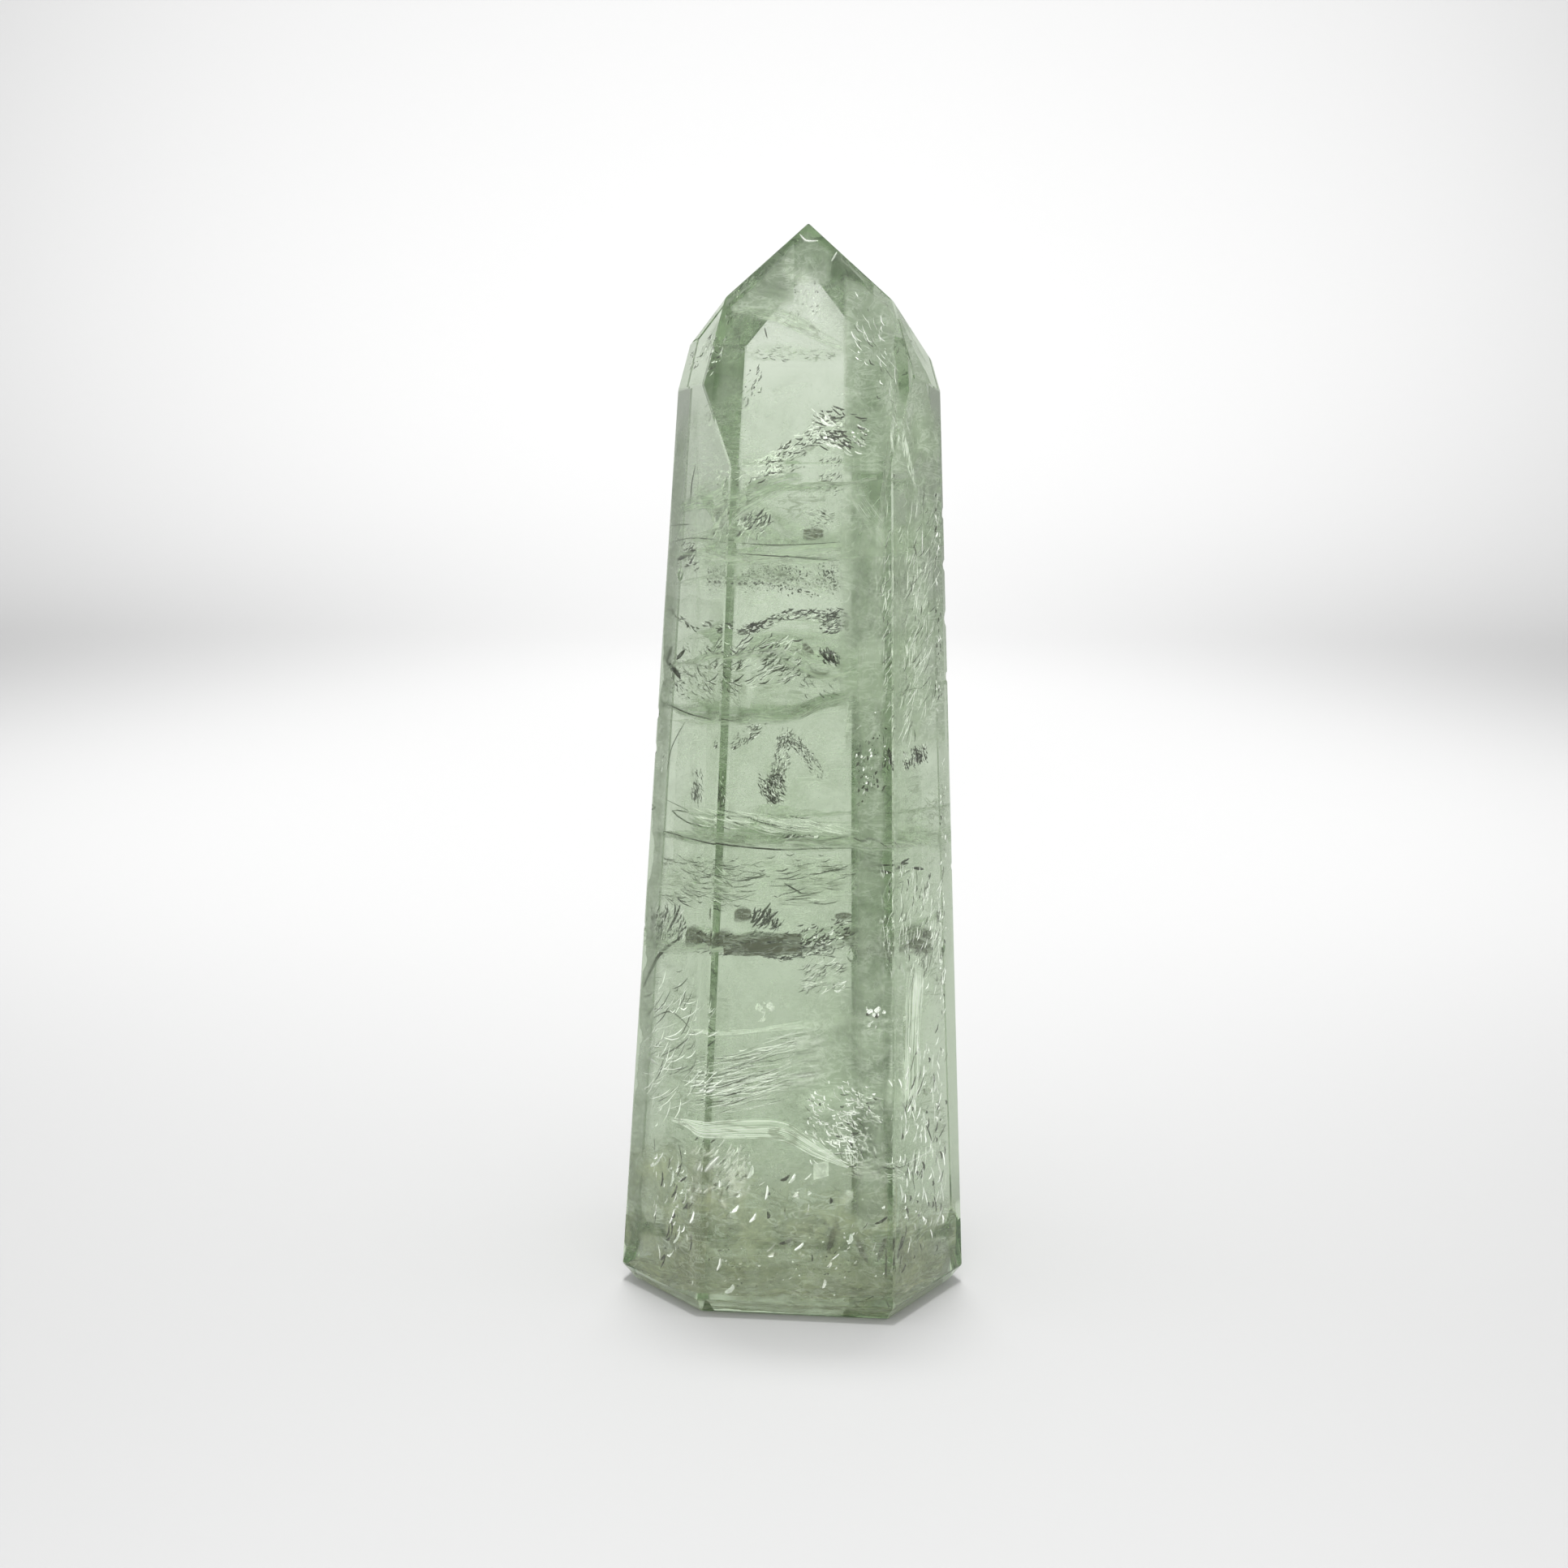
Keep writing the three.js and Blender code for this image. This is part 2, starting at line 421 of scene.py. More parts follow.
def clip_to_stone(shape):
    """Cut away what reaches outside the stone."""
    for point, normal in ground_facets():
        every = shape.verts[:] + shape.edges[:] + shape.faces[:]
        bmesh.ops.bisect_plane(shape, geom=every, dist=CUT_TOLERANCE, plane_co=point - normal * SKIN,
                               plane_no=normal, clear_outer=True)


def along(points, share):
    """A point on the smooth curve through the points, past its ends on a straight line."""
    last = len(points) - 1
    spot = share * last
    index = min(max(int(math.floor(spot)), 0), last - 1)
    step = spot - index
    here, there = Vector(points[index]), Vector(points[index + 1])
    if step < 0.0 or step > 1.0:
        return here + (there - here) * step
    before = Vector(points[max(index - 1, 0)])
    after = Vector(points[min(index + 2, last)])
    lead = (there - before) * 0.5
    trail = (after - here) * 0.5
    return (here * (2 * step ** 3 - 3 * step ** 2 + 1) + lead * (step ** 3 - 2 * step ** 2 + step)
            + there * (3 * step ** 2 - 2 * step ** 3) + trail * (step ** 3 - step ** 2))


def ripple(place, size, height, seed):
    """A smooth random height, for waves in a sheet."""
    spot = place / size + Vector([seed * shift for shift in SEED_SHIFT])
    return wobble.fractal(spot, WAVE_FALL, WAVE_SPLIT, WAVE_SIZES) * height


# Meshes of the inclusions

def finished_mesh(name, shape):
    """A plain mesh of a shape."""
    mesh = bpy.data.meshes.new(name)
    shape.to_mesh(mesh)
    shape.free()
    return mesh


def sheet_edges(sight, stations, near, far):
    """The low and the high edge of a sheet, as places inside the stone."""
    lows, highs = [], []
    for across, low, high, *high_across in stations:
        lows.append(sight.inside(across, low, near))
        highs.append(sight.inside(high_across[0] if high_across else across, high, far))
    return lows, highs


def sheet_mesh(sight, name, seed, stations, near, far, past=(0.0, 0.0), steps=(84, 24), wave=(4.0, 0.35),
               fade=(0.12, 0.18)):
    """A wavy sheet inside the stone.

    stations are (across, low, high) in the picture, with the high edge's own across as a fourth where
    it differs; the low edge lies the share near of the way through the stone and the high edge the
    share far. past is how many millimetres the sheet goes on beyond its first and last station. steps
    are its columns and rows. wave is (length, height) in millimetres; fade is the share of the sheet
    over which it thins out at its ends and at its edges.
    """
    lows, highs = sheet_edges(sight, stations, near, far)
    length = sum((b - a).length for a, b in zip(lows, lows[1:])) / MM
    start, stop = -past[0] / length, 1.0 + past[1] / length
    columns, rows = steps
    shape = bmesh.new()
    sheet_place = shape.loops.layers.uv.new("sheet")
    grid = []
    spots = {}
    for column in range(columns + 1):
        share = start + (stop - start) * column / columns
        low, high = along(lows, share), along(highs, share)
        out = (high - low).cross(along(highs, share + SHEET_AHEAD) - low).normalized()
        line = []
        for row in range(rows + 1):
            flat = low.lerp(high, row / rows)
            vertex = shape.verts.new(flat + out * ripple(flat, wave[0] * MM, wave[1] * MM, seed))
            spots[vertex] = (column / columns, row / rows)
            line.append(vertex)
        grid.append(line)
    for left, right in zip(grid, grid[1:]):
        for row in range(rows):
            face = shape.faces.new((left[row], right[row], right[row + 1], left[row + 1]))
            face.smooth = True
            for loop in face.loops:
                loop[sheet_place].uv = spots[loop.vert]
    clip_to_stone(shape)
    mesh = finished_mesh(name, shape)
    cover_attribute(mesh, fade, past)
    return mesh


def cover_attribute(mesh, fade, past):
    """Store how thick the sheet is at each vertex: full inside, nothing at its free edges."""
    attribute = mesh.attributes.new("cover", "FLOAT", "POINT")
    spots = mesh.uv_layers["sheet"].data
    for loop in mesh.loops:
        u, v = spots[loop.index].uv
        ends = 1.0
        if past[0] == 0.0:
            ends *= min(u / fade[0], 1.0)
        if past[1] == 0.0:
            ends *= min((1.0 - u) / fade[0], 1.0)
        edges = min(v / fade[1], (1.0 - v) / fade[1], 1.0)
        attribute.data[loop.vertex_index].value = max(ends * edges, 0.0)


def needle_mesh(sight, name, needles):
    """Slim spindles: needles, ticks and slits, each as (width, through, point, point, ...)."""
    shape = bmesh.new()
    corners = range(NEEDLE_SIDES)
    for width, through, *points in needles:
        line = [sight.inside(across, up, through) for across, up in points]
        rings = []
        for step in range(1, NEEDLE_STEPS):
            share = step / NEEDLE_STEPS
            here = along(line, share)
            lead = (along(line, share + NEEDLE_AHEAD) - here).normalized()
            side = lead.cross(Vector((0.0, 1.0, 0.0))).normalized()
            deep = lead.cross(side)
            radius = 0.5 * width * MM * math.sin(math.pi * share) ** NEEDLE_TAPER
            ring = []
            for corner in corners:
                turn = 2 * math.pi * corner / NEEDLE_SIDES
                sideways = side * (radius * math.cos(turn))
                inwards = deep * (radius * NEEDLE_FLATNESS * math.sin(turn))
                ring.append(shape.verts.new(here + sideways + inwards))
            rings.append(ring)
        tips = shape.verts.new(line[0]), shape.verts.new(line[-1])
        for near, far in zip(rings, rings[1:]):
            for corner in corners:
                after = (corner + 1) % NEEDLE_SIDES
                shape.faces.new((near[corner], near[after], far[after], far[corner]))
        for corner in corners:
            after = (corner + 1) % NEEDLE_SIDES
            shape.faces.new((tips[0], rings[0][after], rings[0][corner]))
            shape.faces.new((tips[1], rings[-1][corner], rings[-1][after]))
    bmesh.ops.recalc_face_normals(shape, faces=shape.faces[:])
    for face in shape.faces:
        face.smooth = True
    return finished_mesh(name, shape)


def add_piece(name, mesh):
    """Put a finished mesh in the stone, to move with it."""
    piece = bpy.data.objects.new(name, mesh)
    bpy.context.scene.collection.objects.link(piece)
    piece.visible_shadow = False
    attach(piece, BODY)


# Flakes, scattered over a guide sheet

def flake_points(tree, given):
    """Points over the guide, in clumps and fewer towards its edge, with the way it faces at each.

    Each point keeps a random number, its shine.
    """
    cover = output_of(tree, "GeometryNodeInputNamedAttribute", {"data_type": "FLOAT"}, Name="cover")
    clumps = output_of(tree, "ShaderNodeTexNoise", Scale=given["Clump size"], Detail=3.0)
    fewest = math_node(tree, "SUBTRACT", 1.0, given["Clumping"])
    density = product(tree, given["Density"], remap(tree, clumps, *CLUMP_RANGE, fewest, 1.0), cover)
    points = add_node(tree, "GeometryNodeDistributePointsOnFaces", {"distribute_method": "RANDOM"},
                      Mesh=given["Guide"], Density=density, Seed=given["Seed"])
    shine = add_node(tree, "FunctionNodeRandomValue", {"data_type": "FLOAT"}, Seed=given["Seed"])
    kept = output_of(tree, "GeometryNodeStoreNamedAttribute", {"data_type": "FLOAT", "domain": "POINT"},
                     Geometry=points.outputs["Points"], Name="shine", Value=shine.outputs[1])
    return kept, points.outputs["Normal"]


def bent_flake(tree, given):
    """One slim flake along X, bowed sideways towards its ends."""
    ball = output_of(tree, "GeometryNodeMeshUVSphere", Segments=4, Rings=4, Radius=0.5)
    laid = output_of(tree, "GeometryNodeTransform", Geometry=ball, Rotation=(0.0, math.pi / 2, 0.0))
    size = output_of(tree, "ShaderNodeCombineXYZ", X=1.0, Y=given["Slimness"],
                     Z=product(tree, given["Slimness"], FLAKE_FLATNESS))
    pressed = output_of(tree, "GeometryNodeTransform", Geometry=laid, Scale=size)
    place = output_of(tree, "ShaderNodeSeparateXYZ", Vector=output_of(tree, "GeometryNodeInputPosition"))
    bow = output_of(tree, "ShaderNodeCombineXYZ", Y=product(tree, place, place, given["Bend"]))
    return output_of(tree, "GeometryNodeSetPosition", Geometry=pressed, Offset=bow)


def flake_turns(tree, given, normal):
    """Flakes lie on the guide along the grain, each turned a little at random."""
    align = "FunctionNodeAlignRotationToVector"
    upright = output_of(tree, align, {"axis": "Z"}, Vector=normal)
    combed = output_of(tree, align, {"axis": "X", "pivot_axis": "Z"}, Rotation=upright, Vector=given["Grain"])
    limit = output_of(tree, "ShaderNodeCombineXYZ", X=given["Tilt"], Y=given["Tilt"], Z=given["Spread"])
    jitter = output_of(tree, "FunctionNodeRandomValue", {"data_type": "FLOAT_VECTOR"},
                       Min=vector_node(tree, "SCALE", limit, Scale=-1.0), Max=limit, Seed=given["Seed"])
    return output_of(tree, "FunctionNodeRotateRotation", {"rotation_space": "LOCAL"},
                     Rotation=combed, Rotate_By=jitter)


def flake_sizes(tree, given):
    """A flake's size on each axis, drawn at random as shares of the length."""
    size = output_of(tree, "FunctionNodeRandomValue", {"data_type": "FLOAT_VECTOR"},
                     Min=SMALLEST_FLAKE, Max=LARGEST_FLAKE, Seed=given["Seed"])
    return vector_node(tree, "SCALE", size, Scale=given["Length"])


def crumpled(tree, given, flakes):
    """The flakes with their corners pushed about."""
    rough = add_node(tree, "ShaderNodeTexNoise", Scale=CRUMPLE_SCALE, Detail=2.0).outputs["Color"]
    centred = vector_node(tree, "SUBTRACT", rough, (0.5, 0.5, 0.5))
    return output_of(tree, "GeometryNodeSetPosition", Geometry=flakes,
                     Offset=vector_node(tree, "SCALE", centred, Scale=given["Crumple"]))


@cache
def flake_tree():
    """Geometry Nodes that scatter small bent flakes over a guide sheet."""
    tree = bpy.data.node_groups.new("scattered flakes", "GeometryNodeTree")
    given = named_inputs(tree, {
        "Guide": ("Geometry", None), "Density": ("Float", 5e6), "Clump size": ("Float", 600.0),
        "Clumping": ("Float", 0.85), "Length": ("Float", 0.0006), "Slimness": ("Float", 0.18),
        "Bend": ("Float", 0.5), "Grain": ("Vector", (1.0, 0.0, 0.0)), "Spread": ("Float", 0.6),
        "Tilt": ("Float", 0.5), "Crumple": ("Float", 0.00012), "Seed": ("Int", 1),
        "Shining share": ("Float", 0.3), "Dull finish": ("Material", None),
        "Shining finish": ("Material", None)})
    points, normal = flake_points(tree, given)
    scattered_flakes = output_of(
        tree, "GeometryNodeInstanceOnPoints", Points=points, Instance=bent_flake(tree, given),
        Rotation=flake_turns(tree, given, normal), Scale=flake_sizes(tree, given))
    real = output_of(tree, "GeometryNodeRealizeInstances", Geometry=scattered_flakes)
    dull = output_of(tree, "GeometryNodeSetMaterial", Geometry=crumpled(tree, given, real),
                     Material=given["Dull finish"])
    shine = output_of(tree, "GeometryNodeInputNamedAttribute", {"data_type": "FLOAT"}, Name="shine")
    shining = math_node(tree, "LESS_THAN", shine, given["Shining share"])
    finished = output_of(tree, "GeometryNodeSetMaterial", Geometry=dull, Selection=shining,
                         Material=given["Shining finish"])
    named_output(tree, "Flakes", "Geometry", finished)
    return tree


def scattered(context, name, guide, values):
    """A plain mesh of the flakes that the tree scatters over the guide; values go by its input names."""
    carrier = bpy.data.objects.new(name, guide)
    context.scene.collection.objects.link(carrier)
    modifier = carrier.modifiers.new("flakes", "NODES")
    modifier.node_group = flake_tree()
    for item in modifier.node_group.interface.items_tree:
        if item.in_out == "INPUT" and item.name in values:
            modifier[item.identifier] = values[item.name]
    evaluated = carrier.evaluated_get(context.evaluated_depsgraph_get())
    mesh = bpy.data.meshes.new_from_object(evaluated)
    mesh.name = name
    carrier.modifiers.clear()
    bpy.data.objects.remove(carrier)
    bpy.data.meshes.remove(guide)
    return mesh


# Settings

class QuartzSettings(bpy.types.PropertyGroup):
    """The clear quartz of the stone."""
    tint: bpy.props.FloatVectorProperty(
        name="Tint", description="Colour that deep quartz turns to", subtype="COLOR",
        size=3, min=0.0, max=1.0, default=(0.665, 0.755, 0.605))
    depth_density: bpy.props.FloatProperty(
        name="Depth density", description="Light taken per metre of quartz", min=0.0, default=100.0)
    refraction: bpy.props.FloatProperty(
        name="Refraction", description="Refractive index of quartz", min=1.0, max=2.5, default=1.544)


class VeilSettings(bpy.types.PropertyGroup):
    """The healed cracks and hazes in the stone."""
    dark: bpy.props.FloatVectorProperty(
        name="Dark", description="Colour of a veil between its ridges", subtype="COLOR",
        size=3, min=0.0, max=1.0, default=(0.35, 0.43, 0.31))
    light: bpy.props.FloatVectorProperty(
        name="Light", description="Colour of a veil's ridges", subtype="COLOR",
        size=3, min=0.0, max=1.0, default=(0.60, 0.69, 0.54))
    deep: bpy.props.FloatVectorProperty(
        name="Deep", description="Colour of the darkest patches", subtype="COLOR",
        size=3, min=0.0, max=1.0, default=(0.10, 0.105, 0.065))
    earthy: bpy.props.FloatVectorProperty(
        name="Earthy", description="Colour of the haze in the foot", subtype="COLOR",
        size=3, min=0.0, max=1.0, default=(0.21, 0.225, 0.145))
    mist: bpy.props.FloatVectorProperty(
        name="Mist", description="Colour of the hazes under the faces", subtype="COLOR",
        size=3, min=0.0, max=1.0, default=(0.79, 0.91, 0.71))
    milk: bpy.props.FloatVectorProperty(
        name="Milk", description="Colour of the white ridges, feathers and flecks", subtype="COLOR",
        size=3, min=0.0, max=1.0, default=(0.89, 0.93, 0.86))
    thick: bpy.props.FloatProperty(
        name="Thickness", description="How much a veil hides where it is thickest",
        min=0.0, max=1.0, default=0.85)
    cloudiness: bpy.props.FloatProperty(
        name="Cloudiness", description="How much a cloud hides where it is thickest",
        min=0.0, max=1.0, default=0.95)
    # Painted light: how strongly the veils glow in their own colour, a stand-in for light gathered in the
    # stone.
    painted_glow: bpy.props.FloatProperty(
        name="Glow", description="Light that a milky crack gathers from the clear stone round it",
        min=0.0, default=0.3)


class CrackleSettings(bpy.types.PropertyGroup):
    """The small cracks and flakes."""
    # The crack's dark side is painted shade, standing in for the shade that its gap reflects.
    crack: bpy.props.FloatVectorProperty(
        name="Crack", description="Colour of a crack's dark side", subtype="COLOR",
        size=3, min=0.0, max=1.0, default=(0.095, 0.105, 0.068))
    silver: bpy.props.FloatVectorProperty(
        name="Silver", description="Colour of a crack's bright side", subtype="COLOR",
        size=3, min=0.0, max=1.0, default=(0.92, 0.94, 0.90))
    # Painted light: how strongly the silvery flakes and bright needles glow in their own colour.
    painted_glow: bpy.props.FloatProperty(
        name="Glow", description="Light that a silvery flake gathers from the clear stone round it",
        min=0.0, default=0.35)
    amount: bpy.props.FloatProperty(
        name="Amount", description="Flakes per square millimetre of a crackle", min=0.0, default=20.0)
    length: bpy.props.FloatProperty(
        name="Length", description="A flake's length, as a share of its crackle's own",
        subtype="FACTOR", min=0.1, default=0.75)
    breadth: bpy.props.FloatProperty(
        name="Breadth", description="A flake's slimness, as a share of its crackle's own",
        subtype="FACTOR", min=0.1, default=1.5)


class StageSettings(bpy.types.PropertyGroup):
    """The camera, the floor and the light round the stone."""
    floor_tint: bpy.props.FloatVectorProperty(
        name="Floor tint", description="Colour of the floor and backdrop", subtype="COLOR",
        size=3, min=0.0, max=1.0, default=(0.42, 0.42, 0.42))
    surround: bpy.props.FloatProperty(
        name="Surround", description="Brightness of the room round the stone", min=0.0, default=1.3)
    lamp_power: bpy.props.FloatProperty(
        name="Lamp power", description="Power of the lamp behind the stone", subtype="POWER",
        min=0.0, default=38.0)
    backdrop_distance: bpy.props.FloatProperty(
        name="Backdrop distance", description="From the stone to the backdrop",
        subtype="DISTANCE", unit="LENGTH", min=0.3, default=0.55)
    backdrop_width: bpy.props.FloatProperty(
        name="Backdrop width", description="Width of the floor and backdrop",
        subtype="DISTANCE", unit="LENGTH", min=0.4, default=3.0)
    lens: bpy.props.FloatProperty(
        name="Lens", description="Focal length of the camera", unit="CAMERA", min=10.0, default=48.4)
    distance: bpy.props.FloatProperty(
        name="Camera distance", description="From the camera to the middle of the stone",
        subtype="DISTANCE", unit="LENGTH", min=0.05, default=150.9 * MM)
    rise: bpy.props.FloatProperty(
        name="Camera rise", description="How far the camera looks down",
        subtype="ANGLE", unit="ROTATION", default=math.radians(11.8))
    aim: bpy.props.FloatVectorProperty(
        name="Aim", description="The point in the middle of the picture",
        subtype="TRANSLATION", unit="LENGTH", size=3, default=(-0.9 * MM, -2.04 * MM, 37.16 * MM))
    camera_side: bpy.props.FloatProperty(
        name="Camera side", description="How far to the right of the stone's axis the camera stands",
        subtype="DISTANCE", unit="LENGTH", default=-0.6 * MM)
    roll: bpy.props.FloatProperty(
        name="Camera roll", description="How far the camera is turned about its sight line",
        subtype="ANGLE", unit="ROTATION", default=math.radians(0.45))


# Where the inclusions lie

def sheet(stations, near, far=None, **more):
    """A sheet's facts, as sheet_mesh takes them; far is left out where the sheet lies at one depth."""
    return {"stations": stations, "near": near, "far": near if far is None else far, **more}


# Veils that cut across the column, healed ones unless they say otherwise.
VEILS = {
    "veil_through_tip": sheet(
        [(-3.8, 33.3, 34.1), (-2.1, 33.4, 34.5), (0.5, 32.6, 33.8), (2.8, 31.5, 32.4), (4.3, 30.8, 31.5)],
        0.1, 0.55),
    "veil_under_shoulder": sheet(
        [(-5.0, 18.0, 20.1), (-3.5, 18.2, 21.2), (-0.9, 20.1, 21.9), (1.4, 21.4, 23.0), (4.3, 21.7, 23.6)],
        0.03, 0.95, past=(6.0, 2.0)),
    "veil_over_bubbles": sheet(
        [(-5.0, 15.7, 17.5), (-2.4, 15.4, 17.3), (0.5, 15.6, 17.8), (4.6, 15.8, 18.2)],
        0.05, 0.9, past=(6.0, 2.0)),
    "veil_of_bubbles": sheet(
        [(-5.0, 14.2, 16.0), (-2.4, 14.2, 15.9), (0.5, 14.0, 15.8), (2.6, 13.3, 15.4), (4.3, 13.8, 15.4)],
        0.05, 0.85, finish="wrinkled curtain", past=(6.0, 0.0)),
    "veil_over_brushwork": sheet(
        [(-5.0, 10.2, 11.5), (-2.4, 10.4, 11.3), (-0.3, 11.3, 12.2), (2.6, 11.3, 12.2), (4.8, 11.3, 12.4)],
        0.1, 0.6, finish="wrinkled curtain", past=(5.0, 1.0)),
    "veil_of_brushwork": sheet(
        [(-5.0, 8.5, 11.1), (-2.4, 8.8, 10.8), (-0.3, 8.5, 11.4), (2.6, 7.0, 11.1), (4.6, 7.3, 11.4)],
        0.05, 0.9, past=(6.0, 1.0)),
    "sagging_veil": sheet(
        [(-5.0, 4.2, 6.2), (-2.4, 4.2, 5.9), (0.5, 4.3, 5.8), (2.6, 5.2, 6.4), (4.9, 5.8, 6.8)],
        0.05, 0.95, past=(6.0, 3.0)),
    "pale_wisps": sheet(
        [(-4.7, -3.4, -2.0), (-2.1, -3.3, -1.9), (0.8, -3.6, -2.2), (4.6, -3.6, -2.7)],
        0.3, 0.8, finish="pale wisp", past=(0.0, 1.0)),
    "upper_converging_veil": sheet(
        [(-5.0, -3.0, -1.9), (-2.4, -3.9, -2.3), (0.5, -4.3, -3.1), (4.6, -4.5, -3.5)],
        0.4, 0.97, past=(6.0, 3.0)),
    "lower_converging_veil": sheet(
        [(-5.0, -4.3, -3.4), (-2.1, -4.6, -3.7), (1.1, -4.8, -3.6), (4.6, -4.6, -3.7), (7.5, -4.9, -4.1)],
        0.03, 0.5, past=(6.0, 4.0)),
    "wispy_veil": sheet(
        [(-5.0, -8.5, -5.5), (-2.1, -8.7, -5.3), (1.1, -8.8, -5.1), (4.6, -8.5, -4.9)],
        0.2, 0.8, finish="pale wisp", past=(6.0, 1.0)),
    "broken_veil": sheet(
        [(-5.0, -12.3, -10.7), (-2.4, -12.2, -10.6), (0.5, -12.2, -10.7), (2.6, -12.0, -10.1),
         (4.6, -12.0, -9.8)], 0.1, 0.8, past=(6.0, 3.0)),
    "band_under_shoulder": sheet(
        [(-4.1, 19.3, 21.1), (-2.7, 19.7, 21.6), (-1.2, 20.5, 22.3), (0.2, 21.4, 22.8), (1.4, 21.8, 23.1)],
        0.3, 0.4, finish="dusky band"),
    "band_on_left_shoulder": sheet(
        [(-7.7, 19.1, 20.1), (-6.6, 19.3, 20.5), (-4.8, 19.6, 20.9)], 0.3, 0.4, finish="dusky band"),
    "sagging_band": sheet(
        [(-4.6, 4.2, 5.8), (-2.4, 4.2, 5.7), (0.5, 4.4, 5.7), (2.6, 5.1, 6.2), (4.8, 5.8, 6.6)],
        0.4, 0.5, finish="dusky band"),
    "sagging_band_on_left": sheet(
        [(-8.9, 5.5, 6.0), (-7.0, 4.9, 5.8), (-5.0, 4.3, 5.6)], 0.4, 0.5, finish="dusky band"),
    "converging_band": sheet(
        [(-4.3, -3.6, -2.4), (-2.4, -4.2, -2.9), (-0.3, -4.5, -3.5), (2.3, -4.6, -3.8), (4.6, -4.5, -3.8)],
        0.5, 0.6, finish="dusky band"),
    "converging_band_on_left": sheet(
        [(-9.3, -3.8, -3.4), (-7.3, -4.2, -3.5), (-5.2, -4.4, -3.6)], 0.4, 0.5, finish="dusky band"),
    "brown_patch": sheet(
        [(1.3, 17.6, 18.4), (2.1, 17.5, 18.5), (2.9, 17.8, 18.3)], 0.4, 0.45, finish="dark veil"),
    "grey_blotch": sheet(
        [(1.6, 7.5, 8.1), (2.4, 7.4, 8.2), (3.3, 7.5, 8.0)], 0.3, 0.35, finish="dark veil"),
    "dark_diagonal": sheet(
        [(1.3, 9.8, 10.3), (1.7, 9.4, 10.2), (2.2, 9.2, 9.5)], 0.3, 0.35, finish="dark veil"),
    "dark_slabs": sheet(
        [(-4.4, -12.0, -11.1), (-3.0, -12.2, -10.7), (-0.9, -12.3, -10.7), (1.3, -12.4, -10.8)],
        0.1, 0.3, finish="dark veil", fade=(0.02, 0.03)),
    "dark_slab_on_left": sheet(
        [(-7.1, -11.7, -10.4), (-6.3, -11.9, -10.0), (-5.3, -11.8, -10.7)], 0.3, 0.4, finish="dark veil"),
    "round_blotch": sheet(
        [(-3.6, -9.9, -9.1), (-3.0, -10.0, -8.7), (-2.3, -9.7, -9.0)], 0.3, finish="dark veil"),
    "dark_oval": sheet([(3.6, -9.6, -9.3), (4.3, -9.8, -9.1), (4.9, -9.6, -9.3)], 0.3, finish="dark veil"),
    "slab_on_right": sheet(
        [(8.2, -12.3, -10.7), (9.1, -12.4, -10.1), (10.7, -12.4, -10.4)], 0.3, 0.5, finish="dark veil"),
}

# Upright sheets, creased all over.
CURTAINS = {
    "curtain_in_tip": sheet(
        [(-2.9, 30.2, 31.2), (-0.9, 30.2, 31.5), (1.4, 30.2, 31.3), (4.1, 30.2, 31.1)], 0.5, 0.6),
    "curtain_of_rising_crack": sheet(
        [(-3.5, 20.8, 22.4), (-1.5, 21.2, 23.2), (0.8, 22.1, 24.7), (3.1, 22.9, 26.6), (6.0, 23.4, 27.0)],
        0.3, 0.45),
    "curtain_under_shoulder": sheet(
        [(-4.8, 17.3, 20.4), (-1.2, 17.3, 21.0), (2.0, 17.3, 21.9), (4.9, 17.3, 22.1)],
        0.45, 0.5, past=(0.0, 1.0)),
    "curtain_under_shoulder_left": sheet(
        [(-8.1, 15.1, 18.9), (-6.7, 15.1, 18.9), (-4.5, 15.1, 18.9)], 0.35, 0.45),
    "curtain_over_sag": sheet(
        [(-4.8, 5.5, 10.7), (-1.5, 5.3, 11.0), (2.0, 5.8, 11.3), (4.9, 6.2, 11.3)],
        0.5, 0.4, past=(0.0, 1.0)),
    "curtain_over_sag_left": sheet(
        [(-8.6, 5.8, 10.7), (-6.7, 5.0, 10.8), (-4.8, 5.0, 11.0)], 0.4, past=(1.0, 0.0)),
    "curtain_of_wisps": sheet([(-4.8, -8.9, -5.0), (-0.9, -9.1, -4.9), (4.8, -8.7, -4.8)], 0.5),
    "curtain_of_wisps_left": sheet([(-9.2, -9.1, -5.0), (-7.3, -9.1, -4.9), (-5.8, -8.8, -5.0)], 0.4),
    "curtain_by_broken_veil": sheet([(-9.6, -13.6, -8.9), (-7.3, -13.3, -8.8), (-5.0, -13.0, -9.2)], 0.4),
    "curtain_low_in_front": sheet(
        [(-5.5, -28.1, -18.8), (-1.5, -28.7, -17.6), (2.6, -29.3, -15.9), (7.5, -28.7, -12.4)], 0.45, 0.5),
    "curtain_low_on_left": sheet([(-10.1, -31.0, -13.0), (-8.2, -32.2, -13.0), (-5.9, -32.2, -13.3)], 0.4),
    "curtain_in_foot": sheet(
        [(-5.7, -36.8, -26.4), (-2.1, -36.9, -27.5), (2.0, -37.0, -28.1), (5.5, -36.9, -27.5),
         (7.7, -36.8, -26.9)], 0.3, 0.35),
    "curtain_on_right_face": sheet(
        [(8.2, -34.5, 1.5), (9.8, -34.5, 1.5), (11.7, -33.9, 1.5)],
        0.4, steps=(30, 200), fade=(0.15, 0.04)),
}

